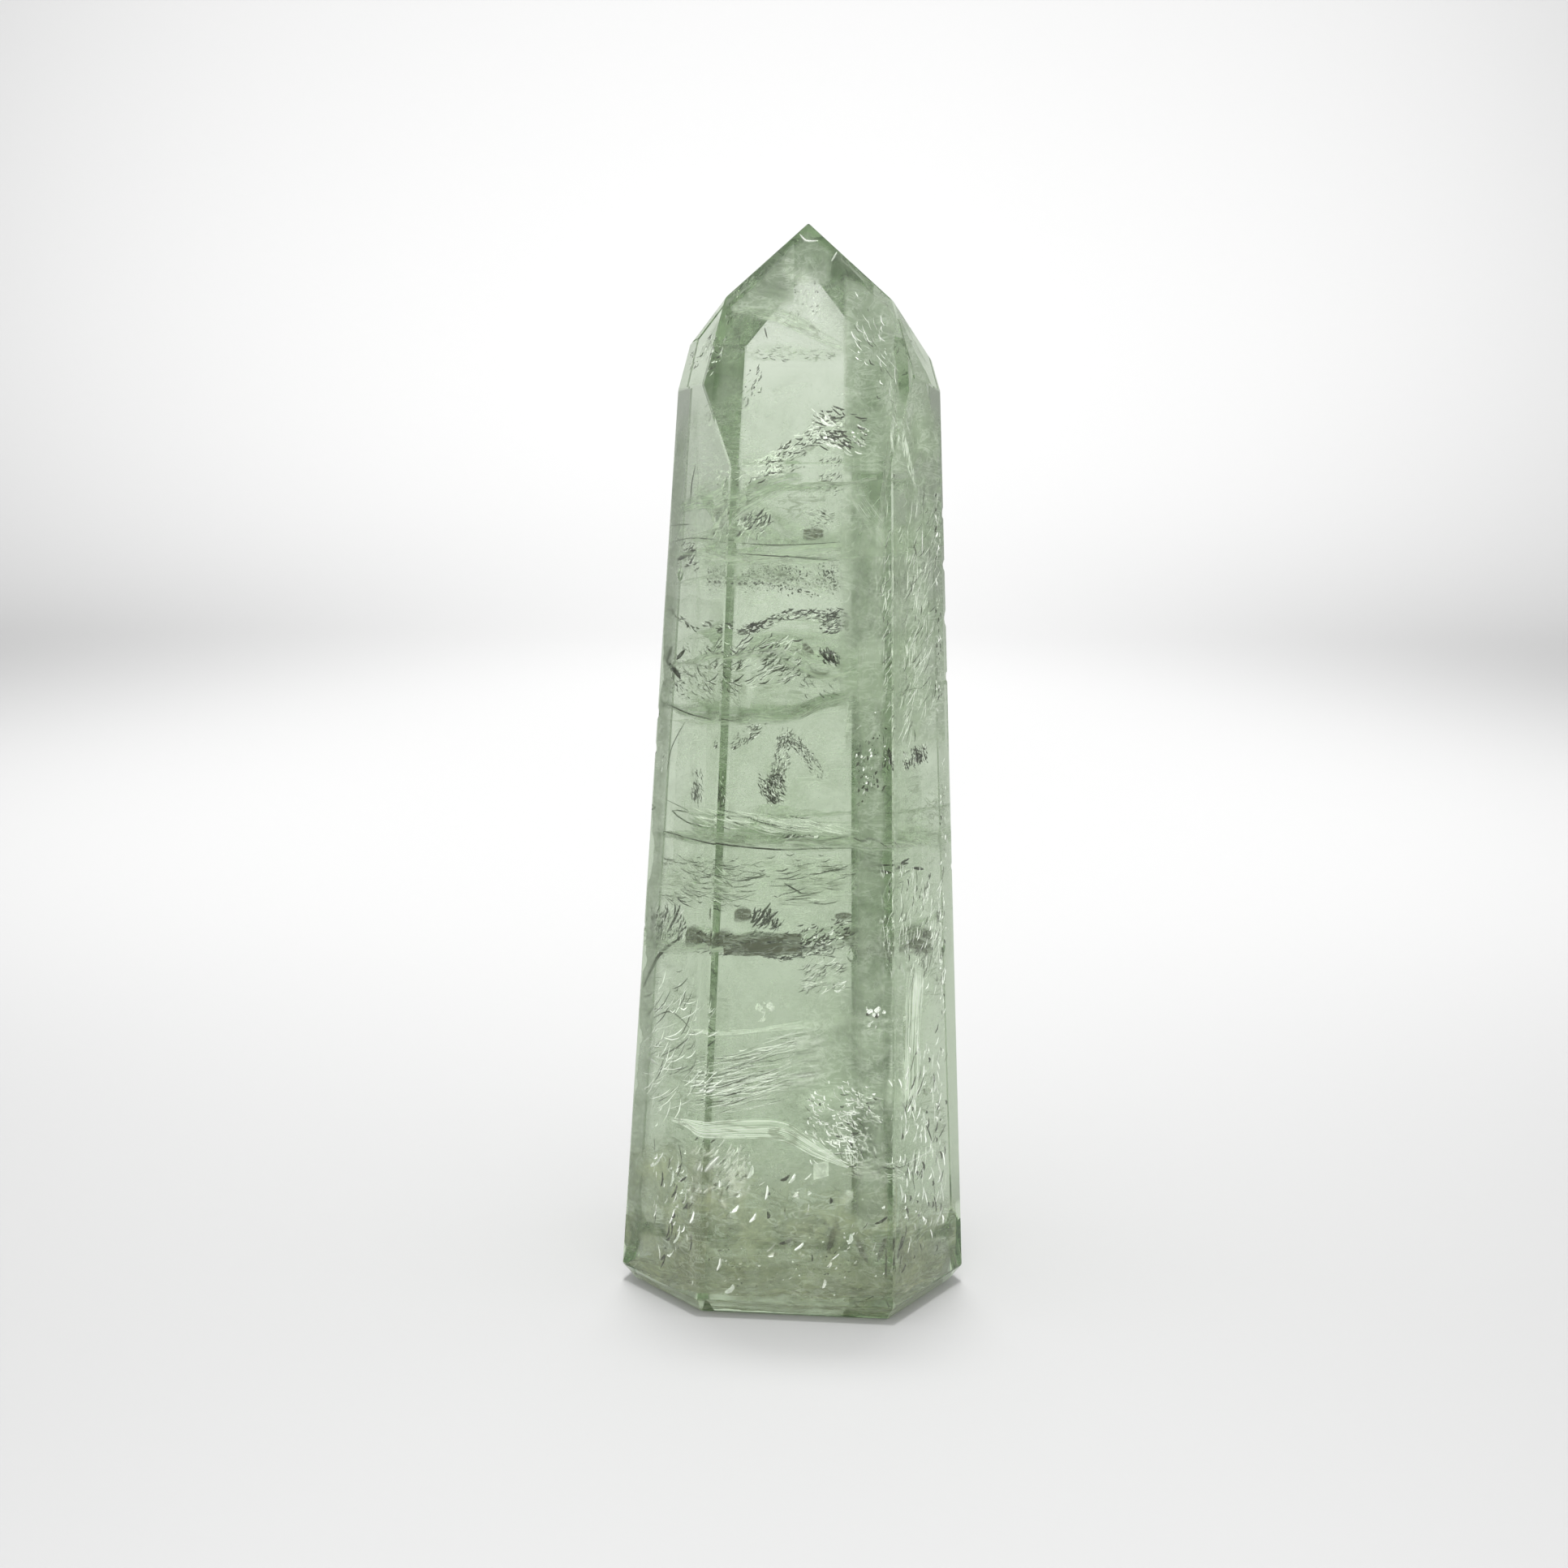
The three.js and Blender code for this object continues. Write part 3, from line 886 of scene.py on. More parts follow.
# Upright hazes: close under the faces that they dull, or deep in, drifting across a pane.
CLOUDS = {
    "haze_in_apex": sheet(
        [(-0.1, 35.6, 38.0), (0.8, 35.6, 38.8), (1.6, 35.6, 39.6), (2.4, 35.6, 39.1), (3.5, 35.6, 38.1)],
        0.15, finish="mottled haze", steps=(60, 60)),
    "haze_in_tip": sheet(
        [(-3.5, 33.3, 34.0), (-2.1, 32.7, 35.6), (-0.3, 32.2, 37.5), (2.0, 31.4, 36.9), (4.3, 31.1, 36.3)],
        0.25, past=(1.0, 2.0)),
    "haze_behind_tip": sheet(
        [(-3.5, 29.9, 33.7), (-2.1, 29.9, 35.4), (1.4, 29.8, 37.3), (4.3, 29.8, 36.3), (7.2, 29.8, 34.5)],
        0.7, past=(2.0, 2.0)),
    "haze_right_of_tip": sheet(
        [(4.2, 22.1, 36.6), (6.0, 22.1, 35.6), (7.7, 22.1, 33.7), (10.1, 22.9, 29.6)],
        0.3, finish="mottled haze", past=(0.0, 2.0), steps=(60, 100), fade=(0.06, 0.03)),
    "haze_down_right_edge": sheet(
        [(5.0, -36.8, 22.7), (6.4, -36.8, 22.7), (7.8, -36.8, 22.5)],
        0.2, finish="mottled haze", steps=(24, 260), fade=(0.3, 0.12)),
    # Painted shade: a darkened mist sheet just inside the left outline darkens the band along it, as a darker
    # room at that side would.
    "painted_shade_down_left_edge": sheet(
        [(-11.2, -33.7, 26.1, -7.5), (-10.7, -33.8, 26.6, -7.2), (-10.0, -33.9, 27.0, -6.7)],
        0.08, finish="edge shade", past=(1.0, 0.0), steps=(12, 240), fade=(0.3, 0.03)),
    "haze_left_of_apex": sheet(
        [(-3.9, 33.8, 34.1), (-2.4, 33.8, 35.5), (-0.9, 33.7, 37.1), (0.3, 34.0, 38.5)],
        0.12, finish="mottled haze", past=(0.0, 0.5), steps=(60, 40), fade=(0.1, 0.15)),
    "haze_beside_right_edge": sheet(
        [(3.7, 5.6, 22.1), (4.9, 5.6, 22.1), (6.2, 5.6, 22.1)],
        0.2, finish="mottled haze", steps=(24, 120), fade=(0.4, 0.1)),
    "haze_high_on_right_face": sheet(
        [(8.0, 2.1, 27.6), (9.5, 2.1, 28.2), (11.1, 2.1, 27.0)],
        0.35, finish="mottled haze", past=(1.0, 2.0), steps=(30, 160), fade=(0.2, 0.06)),
    "haze_low_on_right_face": sheet(
        [(8.1, -15.9, 3.8), (9.8, -15.9, 3.8), (11.7, -15.9, 3.8)],
        0.3, finish="faint cloud", past=(1.0, 2.0), steps=(30, 120)),
    "haze_on_left_face": sheet(
        [(-9.8, -34.5, 27.5, -7.3), (-8.1, -35.6, 27.6, -6.3), (-6.0, -36.2, 27.5, -5.0)],
        0.5, finish="faint cloud", past=(1.0, 1.0), steps=(30, 220), fade=(0.1, 0.04)),
    "haze_across_middle": sheet(
        [(-4.8, -36.8, 21.2), (-0.3, -36.9, 21.2), (4.6, -36.9, 21.2)],
        0.5, finish="faint cloud", past=(1.0, 1.0), steps=(60, 220), fade=(0.1, 0.04)),
    "haze_low_in_front": sheet(
        [(-0.9, -28.7, -12.4), (2.0, -29.3, -11.3), (4.9, -29.3, -10.7), (7.7, -28.7, -10.1)],
        0.14, finish="mottled haze", past=(0.0, 0.5), steps=(60, 120), fade=(0.45, 0.35)),
    "haze_in_foot": sheet(
        [(-5.7, -36.8, -24.6), (-2.1, -37.0, -25.2), (2.0, -37.0, -26.4), (5.5, -37.0, -25.8),
         (7.8, -37.0, -24.6)],
        0.1, 0.12, finish="foot haze", past=(1.0, 0.0), steps=(90, 60), fade=(0.03, 0.45)),
    "haze_deep_in_foot": sheet(
        [(-5.7, -36.8, -29.3), (-2.1, -37.0, -30.4), (2.0, -37.0, -31.0), (5.5, -37.0, -30.4),
         (7.8, -37.0, -29.3)], 0.6, finish="foot haze", past=(1.0, 1.0), steps=(90, 60), fade=(0.05, 0.3)),
    "haze_over_base": sheet(
        [(-5.7, -36.7, -34.0), (1.1, -36.8, -34.1), (7.8, -36.7, -34.0)],
        0.05, 0.95, finish="foot haze", past=(5.0, 5.0), steps=(90, 40), fade=(0.05, 0.02)),
    "haze_in_left_foot": sheet(
        [(-11.3, -33.9, -25.2, -10.8), (-9.6, -34.9, -24.6), (-7.3, -36.2, -25.2), (-6.0, -36.7, -25.8)],
        0.12, finish="foot haze", past=(0.5, 0.5), steps=(40, 60), fade=(0.1, 0.2)),
    "haze_in_right_foot": sheet(
        [(8.1, -36.7, -29.3), (9.5, -36.2, -29.3), (11.0, -35.6, -29.3), (12.1, -34.5, -29.3)],
        0.12, finish="foot haze", past=(0.0, 0.5), steps=(40, 60), fade=(0.1, 0.3)),
    "haze_in_pane_under_tip": sheet(
        [(-3.5, 18.9, 28.8), (-0.9, 18.9, 29.9), (2.0, 18.9, 30.5), (4.6, 18.9, 29.4)],
        0.6, past=(1.0, 1.0), steps=(60, 90), fade=(0.15, 0.2)),
    "haze_in_upper_pane": sheet(
        [(-3.9, 3.8, 20.7), (-1.2, 3.7, 20.9), (2.0, 3.7, 20.9), (4.8, 3.8, 20.7)],
        0.6, past=(1.0, 1.0), steps=(60, 120), fade=(0.1, 0.1)),
    "haze_in_middle_pane": sheet(
        [(-4.4, -11.8, 5.0), (-1.2, -12.0, 5.2), (2.0, -12.0, 5.2), (4.6, -11.8, 5.0)],
        0.65, past=(1.0, 1.0), steps=(60, 120), fade=(0.1, 0.1)),
    "haze_in_lower_pane": sheet(
        [(-4.6, -29.3, -13.0), (-1.2, -29.5, -12.8), (2.0, -29.5, -12.8), (4.6, -29.3, -13.0)],
        0.6, past=(1.0, 1.0), steps=(60, 120), fade=(0.1, 0.2)),
    "haze_high_on_left_face": sheet(
        [(-7.4, 12.0, 27.6), (-6.2, 11.7, 28.2), (-4.5, 11.4, 23.6)],
        0.6, past=(1.0, 1.0), steps=(40, 120), fade=(0.15, 0.15)),
}

# Bright feathers, slabs and single flakes.
FEATHERS = {
    "silver_feather": sheet(
        [(-8.1, -24.1, -23.9), (-7.0, -24.6, -24.0), (-5.7, -25.4, -24.1), (-2.8, -25.4, -23.9),
         (0.0, -25.6, -24.1), (2.2, -26.7, -25.4), (4.6, -27.6, -27.4)],
        0.06, 0.1, wave=(6.0, 0.2), fade=(0.02, 0.04)),
    "pale_feather": sheet(
        [(-5.4, -18.1, -17.8), (-2.1, -17.8, -17.4), (1.4, -17.5, -16.9), (4.9, -17.2, -16.6),
         (7.7, -17.1, -16.8)], 0.2, 0.3, wave=(6.0, 0.2), fade=(0.02, 0.05)),
    "folded_feather": sheet(
        [(0.8, -23.6, -22.4), (2.6, -23.8, -21.7), (4.1, -23.9, -21.8), (5.6, -23.6, -22.3)], 0.2, 0.5),
    "milky_slab": sheet(
        [(8.4, -23.4, -13.6, 8.8), (9.0, -23.9, -12.5, 9.5), (9.6, -23.0, -13.3, 10.1)],
        0.1, finish="milky slab", steps=(24, 110)),
    "light_streak_by_edge": sheet(
        [(4.3, 21.1, 22.3), (5.2, 19.3, 21.8), (6.2, 17.8, 20.5), (7.3, 16.3, 19.0)],
        0.05, 0.06, finish="pale wisp"),
    "light_streak_right_of_tip": sheet(
        [(8.0, 25.7, 26.5), (8.6, 23.8, 25.3), (9.2, 22.1, 23.6), (9.6, 21.2, 21.9)],
        0.1, 0.15, finish="milky slab"),
    "light_arc_under_tip": sheet(
        [(-3.7, 22.8, 23.3), (-2.4, 22.6, 23.4), (-1.2, 23.0, 23.8), (-0.2, 23.6, 24.1)],
        0.4, 0.45, finish="milky slab"),
    "square_flake": sheet(
        [(2.1, -28.4, -27.1), (3.2, -28.1, -26.9)], 0.2, finish="bright flake", fade=(0.02, 0.02)),
    "oval_flake": sheet(
        [(3.9, -29.9, -29.6), (4.4, -30.2, -29.0), (5.0, -29.7, -29.1)], 0.2, finish="bright flake"),
    "pale_patch_by_apex": sheet(
        [(0.7, 35.8, 36.6), (1.3, 35.6, 36.9), (1.9, 35.8, 36.4)], 0.3, finish="milky slab"),
}


def cluster(stations, through, length, turn, shine, crowd, slim=0.18, spread=0.6, tilt=0.5, bend=0.5):
    """A cluster's facts: its stations, as a sheet's, and how far in it lies.

    length is a flake's in millimetres; turn is the grain's in degrees; shine is the share of silvery
    flakes; crowd is how close they lie; slim is breadth by length; spread and tilt are in radians.
    """
    return {"stations": stations, "through": through, "length": length, "turn": turn, "shine": shine,
            "crowd": crowd, "slim": slim, "spread": spread, "tilt": tilt, "bend": bend}


# Clusters of small cracks and flakes.
CRACKLES = {
    "crackle_along_tip_edge": cluster(
        [(-2.7, 30.3, 31.1), (-0.3, 30.2, 31.2), (2.0, 30.2, 31.1), (3.8, 30.3, 31.1)],
        0.9, 0.5, -6, 0.3, 1.6, slim=0.1),
    "crackle_left_of_tip": cluster(
        [(-3.0, 25.9, 29.9), (-2.3, 26.8, 30.1), (-1.5, 27.9, 29.9)], 0.6, 0.5, 55, 0.3, 1.2),
    "flecks_under_apex": cluster(
        [(0.3, 32.9, 35.8), (1.4, 32.9, 36.9), (2.6, 32.9, 35.8)], 0.4, 0.4, 60, 0.7, 1.5),
    "streaks_right_of_tip": cluster(
        [(4.5, 31.1, 36.0), (5.8, 28.8, 34.7), (7.3, 25.9, 32.9), (8.9, 24.7, 31.1)],
        0.12, 1.2, -55, 0.7, 0.2, slim=0.06, spread=0.4),
    "creases_left_of_tip": cluster(
        [(-6.7, 28.8, 30.6), (-5.9, 29.7, 32.0), (-4.9, 30.5, 32.9)], 0.3, 0.5, 50, 0.5, 1.2),
    "rising_crack": cluster(
        [(-3.5, 20.9, 22.5), (-1.2, 21.7, 23.6), (1.1, 22.9, 25.3), (3.1, 24.3, 26.6), (4.8, 25.0, 27.0)],
        0.35, 0.8, 32, 0.5, 2.0, slim=0.12),
    "rising_crack_knot": cluster(
        [(2.0, 24.4, 26.8), (3.4, 23.8, 27.0), (4.9, 23.6, 26.8), (6.2, 23.8, 26.5)],
        0.2, 0.9, -30, 0.5, 1.4, slim=0.16),
    "crackle_under_shoulder": cluster(
        [(2.4, 20.5, 22.5), (3.4, 20.4, 22.4), (4.4, 20.9, 22.4)], 0.5, 0.45, 40, 0.25, 2.6, slim=0.12),
    "crackle_over_patch": cluster(
        [(1.5, 18.3, 20.0), (2.6, 18.1, 19.7), (3.6, 18.3, 19.6)], 0.4, 0.45, -10, 0.2, 2.6, slim=0.12),
    "strokes_left_of_patch": cluster(
        [(-3.4, 17.1, 19.5), (-2.1, 17.3, 19.8), (-0.8, 17.8, 19.6)], 0.4, 0.9, 45, 0.3, 1.1, slim=0.1),
    "crackle_on_left_shoulder": cluster(
        [(-8.2, 15.1, 17.3), (-7.2, 15.1, 17.5), (-5.9, 15.2, 17.3)], 0.3, 0.7, 30, 0.25, 1.6, slim=0.12),
    "bubbles": cluster(
        [(-3.5, 13.4, 15.7), (-0.9, 13.6, 15.7), (2.0, 13.2, 15.8), (4.3, 13.4, 16.0)],
        0.55, 0.16, 20, 0.3, 5.0, slim=0.8),
    "bubble_outline": cluster(
        [(-3.8, 14.2, 14.5), (-1.2, 14.2, 14.5), (1.1, 13.7, 14.0), (2.8, 13.3, 13.6), (3.9, 14.3, 14.7)],
        0.4, 0.25, 0, 0.1, 5.0, slim=0.5),
    "dark_broken_crack": cluster(
        [(-4.4, 10.7, 11.5), (-3.0, 10.6, 11.4), (-1.5, 10.9, 11.7), (-0.1, 11.6, 12.4), (2.6, 11.7, 12.5),
         (4.6, 12.0, 12.7)], 0.3, 0.6, 10, 0.2, 4.6, slim=0.15, spread=0.5),
    "dark_broken_crack_left": cluster(
        [(-8.4, 12.4, 12.9), (-7.4, 11.6, 12.2), (-6.6, 11.0, 11.5), (-4.8, 11.4, 11.8)],
        0.3, 0.6, -20, 0.15, 3.5, slim=0.15, spread=0.3),
    "brown_blotches": cluster(
        [(2.6, 10.8, 12.0), (3.7, 10.8, 12.1), (4.9, 11.0, 12.1)], 0.35, 0.6, 20, 0.2, 4.0),
    "brushwork_left": cluster(
        [(-4.1, 6.7, 10.5), (-2.1, 6.7, 10.7), (-0.1, 6.7, 10.8), (1.4, 7.0, 10.8)],
        0.35, 1.2, 35, 0.4, 1.3, slim=0.07, spread=0.4),
    "brushwork_right": cluster(
        [(1.1, 5.7, 9.6), (2.6, 5.7, 8.5), (4.3, 6.0, 9.1)], 0.45, 0.6, -35, 0.4, 1.6, slim=0.09),
    "brushwork_on_left_face": cluster(
        [(-8.5, 6.0, 10.2), (-6.7, 5.6, 10.2), (-4.9, 5.5, 10.2)], 0.35, 0.8, -30, 0.4, 1.2, slim=0.08),
    "spiked_patch": cluster(
        [(2.4, 8.9, 9.6), (3.1, 8.5, 9.6), (4.1, 8.4, 9.2)], 0.3, 0.6, -50, 0.15, 4.2, slim=0.13),
    "crackle_top_of_pane": cluster(
        [(-3.7, 2.2, 3.4), (-2.6, 2.9, 4.2), (-1.3, 3.6, 4.4)], 0.25, 0.5, 40, 0.15, 6.0, slim=0.12),
    "forked_crackle_left": cluster(
        [(-0.9, -0.5, 2.1), (-0.2, 0.3, 3.9), (0.7, 1.5, 4.1)], 0.3, 0.4, 60, 0.15, 6.5, slim=0.12),
    "forked_crackle_right": cluster(
        [(0.2, 2.7, 4.1), (1.1, 1.8, 3.5), (2.0, 0.6, 2.4), (2.8, 0.1, 1.2)],
        0.3, 0.4, -50, 0.15, 7.0, slim=0.12),
    "dark_tuft": cluster(
        [(-1.9, -0.5, 0.9), (-0.9, -1.6, 1.0), (0.1, -1.0, 0.8)], 0.3, 0.45, -55, 0.1, 7.0, slim=0.15),
    "tuft_on_left_face": cluster(
        [(-6.7, -1.0, 0.9), (-6.3, -1.6, 1.3), (-5.8, -0.9, 0.9)], 0.3, 0.5, -70, 0.1, 4.4, slim=0.15),
    "specks_by_right_edge": cluster(
        [(5.0, -2.0, 5.7), (6.2, -2.0, 5.7), (7.5, -2.0, 5.6)], 0.08, 0.35, 70, 0.4, 0.5, slim=0.3),
    "wisps_over_bands": cluster(
        [(-4.3, -3.5, -2.0), (-0.3, -3.6, -2.2), (4.5, -3.5, -2.6)],
        0.4, 2.4, -10, 0.85, 0.8, slim=0.025, spread=0.1, tilt=0.1, bend=0.2),
    "crackled_lens": cluster(
        [(-0.6, -4.5, -3.7), (1.1, -4.6, -3.6), (2.8, -4.5, -3.6)], 0.35, 0.7, 15, 0.35, 3.4),
    "wisps_under_bands": cluster(
        [(-4.6, -8.8, -5.0), (-0.3, -8.9, -4.9), (4.6, -8.6, -4.8)],
        0.5, 2.2, 6, 0.4, 0.7, slim=0.03, spread=0.25, tilt=0.2, bend=0.3),
    "wisps_on_left_face": cluster(
        [(-8.9, -8.6, -4.9), (-7.3, -8.7, -5.0), (-5.8, -8.6, -5.0)],
        0.4, 1.6, -15, 0.5, 0.8, slim=0.04, spread=0.3, tilt=0.2, bend=0.3),
    "dark_band_left": cluster(
        [(-4.6, -12.5, -10.8), (-2.4, -12.2, -10.4), (-0.3, -12.3, -10.7), (1.4, -12.2, -10.7)],
        0.4, 0.9, 5, 0.2, 2.4, slim=0.12),
    "dark_band_right": cluster(
        [(0.8, -12.3, -10.1), (2.6, -12.3, -9.9), (4.9, -12.1, -9.5)], 0.25, 0.6, 30, 0.15, 4.2),
    "band_outline": cluster(
        [(-4.8, -12.7, -12.2), (-2.7, -12.3, -11.8), (-0.3, -12.7, -12.2), (2.0, -12.5, -12.1),
         (4.5, -12.8, -12.2)], 0.3, 0.6, 5, 0.2, 3.0, slim=0.12, spread=0.3),
    "strokes_over_band": cluster(
        [(-2.6, -10.6, -8.8), (-1.2, -10.6, -8.8), (-0.1, -10.4, -9.1)], 0.4, 1.2, 55, 0.2, 1.4, slim=0.1),
    "strokes_on_left_face": cluster(
        [(-9.8, -11.8, -8.6), (-8.4, -11.8, -8.5), (-7.0, -11.3, -8.8)],
        0.35, 1.1, 55, 0.4, 1.7, slim=0.11),
    "tangle_under_band": cluster(
        [(1.1, -15.0, -12.4), (2.8, -15.3, -12.3), (4.6, -15.0, -12.4)],
        0.15, 1.0, 30, 0.5, 1.6, slim=0.06),
    "smudges_on_right_face": cluster(
        [(8.4, 1.0, 2.4), (9.3, 1.2, 2.7), (10.3, 1.4, 2.9)],
        0.25, 0.45, -60, 0.12, 4.5, slim=0.2, spread=0.5),
    "threads_high_on_right_face": cluster(
        [(8.2, 2.7, 21.2), (9.8, 2.7, 21.2), (11.1, 2.7, 21.2)],
        0.3, 1.6, 62, 0.7, 0.55, slim=0.035, spread=0.5, tilt=0.3, bend=0.3),
    "flecks_on_right_face": cluster(
        [(8.2, -15.9, -4.9), (9.8, -15.9, -4.9), (11.6, -15.9, -5.5)],
        0.15, 1.1, 65, 0.6, 0.6, slim=0.08, spread=0.4),
    "glints_in_front": cluster(
        [(-2.0, -17.1, -15.6), (-1.2, -17.2, -15.3), (-0.3, -16.9, -15.7)],
        0.3, 0.6, 50, 1.0, 0.6, slim=0.6),
    "glints_by_right_edge": cluster(
        [(5.8, -17.4, -15.8), (6.6, -17.6, -15.7), (7.4, -17.2, -15.9)], 0.08, 0.5, 60, 0.9, 0.7, slim=0.5),
    "silky_fan": cluster(
        [(-5.2, -23.9, -19.4), (-2.1, -23.4, -18.8), (1.1, -22.3, -17.5), (2.9, -21.1, -17.2)],
        0.2, 3.2, 14, 0.75, 1.3, slim=0.012, spread=0.16, tilt=0.1, bend=0.15),
    "low_threads_on_left": cluster(
        [(-9.9, -25.2, -13.3), (-8.2, -25.2, -13.0), (-5.9, -25.2, -13.3)],
        0.15, 2.4, 35, 0.7, 0.3, slim=0.025, tilt=0.3, bend=0.4),
    "crumbled_white": cluster(
        [(1.5, -27.5, -21.7), (3.1, -27.8, -21.2), (5.5, -27.5, -21.5), (7.2, -26.9, -22.3)],
        0.1, 0.75, -35, 0.9, 1.3, slim=0.16, spread=0.9),
    "rays_from_knot": cluster(
        [(4.6, -28.3, -26.9), (6.2, -28.4, -26.8), (7.7, -28.4, -27.0)],
        0.12, 2.0, -5, 0.85, 0.9, slim=0.035, spread=0.3, tilt=0.1),
    "streaks_at_left_edge": cluster(
        [(-5.8, -30.4, -25.8), (-4.8, -30.4, -25.4), (-2.4, -29.8, -25.9)],
        0.2, 1.1, 58, 0.85, 1.8, slim=0.14, spread=0.3),
    "flecks_in_foot": cluster(
        [(-5.6, -36.8, -26.4), (-2.1, -36.9, -25.2), (2.0, -36.9, -27.5), (7.5, -36.8, -27.5)],
        0.1, 1.1, 60, 0.7, 0.045, slim=0.2),
    "specks_in_foot": cluster(
        [(-5.6, -36.8, -29.3), (-2.1, -36.9, -29.3), (2.0, -36.9, -29.8), (7.5, -36.8, -29.3)],
        0.1, 0.3, 30, 0.5, 0.2, slim=0.3),
    "flecks_low_on_right": cluster(
        [(8.2, -35.1, -17.1), (9.8, -35.1, -17.1), (11.7, -33.9, -17.6)],
        0.07, 1.4, 70, 0.6, 0.22, slim=0.12),
    "flecks_low_on_left": cluster(
        [(-9.6, -34.5, -25.2), (-8.2, -35.3, -25.2), (-6.2, -36.2, -25.8)],
        0.07, 1.3, 60, 0.6, 0.2, slim=0.12),
    "chips_down_right_edge": cluster(
        [(10.8, 3.8, 23.3), (11.0, 3.8, 23.1), (11.3, 3.8, 22.7)], 0.1, 0.45, 80, 0.5, 0.7, slim=0.25),
    "chips_low_on_right_edge": cluster(
        [(11.1, -19.4, 3.5), (11.4, -19.4, 3.3), (11.6, -19.4, 2.9)], 0.1, 0.4, 80, 0.6, 0.5, slim=0.25),
    "chips_down_left_edge": cluster(
        [(-8.9, 0.3, 4.9), (-8.8, 0.3, 4.9), (-8.6, 0.3, 4.8)], 0.1, 0.5, 70, 0.8, 1.0, slim=0.25),
}

# Single needles, ticks and slits: width in millimetres, how far in, and the points of their line.
# Dark needles take the dark crack finish, painted shade.
DARK_NEEDLES = (
    (0.1, 0.3, (-6.3, 23.0), (-6.6, 21.5), (-6.7, 20.0)),
    (0.09, 0.3, (-7.0, 4.6), (-8.0, 2.7), (-8.4, 0.8)),
    (0.2, 0.3, (-2.3, -10.3), (-1.7, -9.6), (-1.3, -9.0)),
    (0.18, 0.3, (-1.9, -10.4), (-1.0, -9.6), (-0.4, -9.1)),
    (0.25, 0.3, (-9.2, -10.6), (-8.6, -9.7), (-8.3, -8.8)),
    (0.25, 0.3, (-8.4, -10.7), (-7.8, -9.6), (-7.4, -8.6)),
    (0.3, 0.3, (-10.1, -14.6), (-8.9, -12.2), (-7.4, -11.0)),
    (0.09, 0.3, (-4.6, -12.4), (-3.0, -12.0), (-0.3, -12.5), (2.0, -12.2), (4.3, -12.5)),
    (0.12, 0.3, (0.0, -7.1), (0.7, -7.5), (1.4, -7.9)),
    (0.22, 0.3, (7.7, -5.8), (8.4, -5.7), (9.0, -5.3)),
    (0.22, 0.3, (9.2, -6.0), (10.0, -6.1)),
    (0.12, 0.1, (9.3, 17.1), (9.5, 16.3)),
    (0.3, 0.2, (-8.4, 8.7), (-8.0, 9.9)),
    (0.35, 0.2, (-8.4, 8.8), (-7.8, 8.1), (-7.4, 7.5)),
    (0.3, 0.2, (-7.7, 8.9), (-7.1, 9.6)),
    (0.3, 0.3, (2.5, 9.6), (3.1, 9.0), (3.9, 8.6)),
    (0.15, 0.3, (3.3, 8.9), (3.4, 9.6)),
    (0.15, 0.3, (3.6, 8.7), (3.5, 9.5)),
    (0.13, 0.2, (7.3, -33.1), (7.3, -35.3)),
    (0.07, 0.3, (-4.1, 17.3), (-0.3, 17.1), (4.0, 17.3)),
    (0.08, 0.3, (-3.5, 16.5), (-0.3, 16.3), (3.7, 16.1)),
    (0.1, 0.4, (-0.1, 16.4), (2.0, 16.1), (4.1, 16.0)),
    (0.1, 0.3, (-8.9, 5.9), (-8.1, 5.6), (-6.7, 5.0), (-4.7, 4.5)),
    (0.08, 0.3, (-8.1, 18.5), (-6.7, 18.6)),
    (0.08, 0.3, (-8.1, 17.3), (-6.7, 17.6), (-4.8, 17.5)),
    (0.35, 0.3, (-7.7, 16.0), (-7.0, 16.4), (-6.3, 16.8)),
    (0.12, 0.9, (-8.9, -0.9), (-6.7, -2.0), (-4.1, -2.3), (-2.4, -3.2), (1.1, -3.7), (4.8, -3.7)),
    (0.12, 0.2, (-9.2, -3.2), (-6.7, -3.9), (-3.8, -4.4), (-0.3, -4.7), (2.8, -4.6), (7.5, -4.6)),
    (0.1, 0.4, (-0.3, -3.8), (2.0, -4.1), (4.8, -3.7)),
    (0.12, 0.15, (4.9, -3.8), (5.6, -4.1), (6.3, -3.9), (7.5, -4.6)),
    (0.45, 0.2, (3.1, -33.6), (3.5, -32.3), (3.9, -31.0)),
    (0.4, 0.2, (5.2, -32.4), (5.5, -33.3), (6.0, -34.3)),
    (0.35, 0.2, (6.7, -34.2), (7.0, -33.3), (7.3, -32.4)),
    (0.1, 0.5, (-1.4, 32.7), (-1.2, 31.9)),
    (0.1, 0.3, (-9.6, -16.9), (-8.1, -16.3), (-6.6, -17.6)),
    (0.12, 0.3, (-8.8, -19.5), (-7.6, -18.8), (-6.6, -18.0)),
)
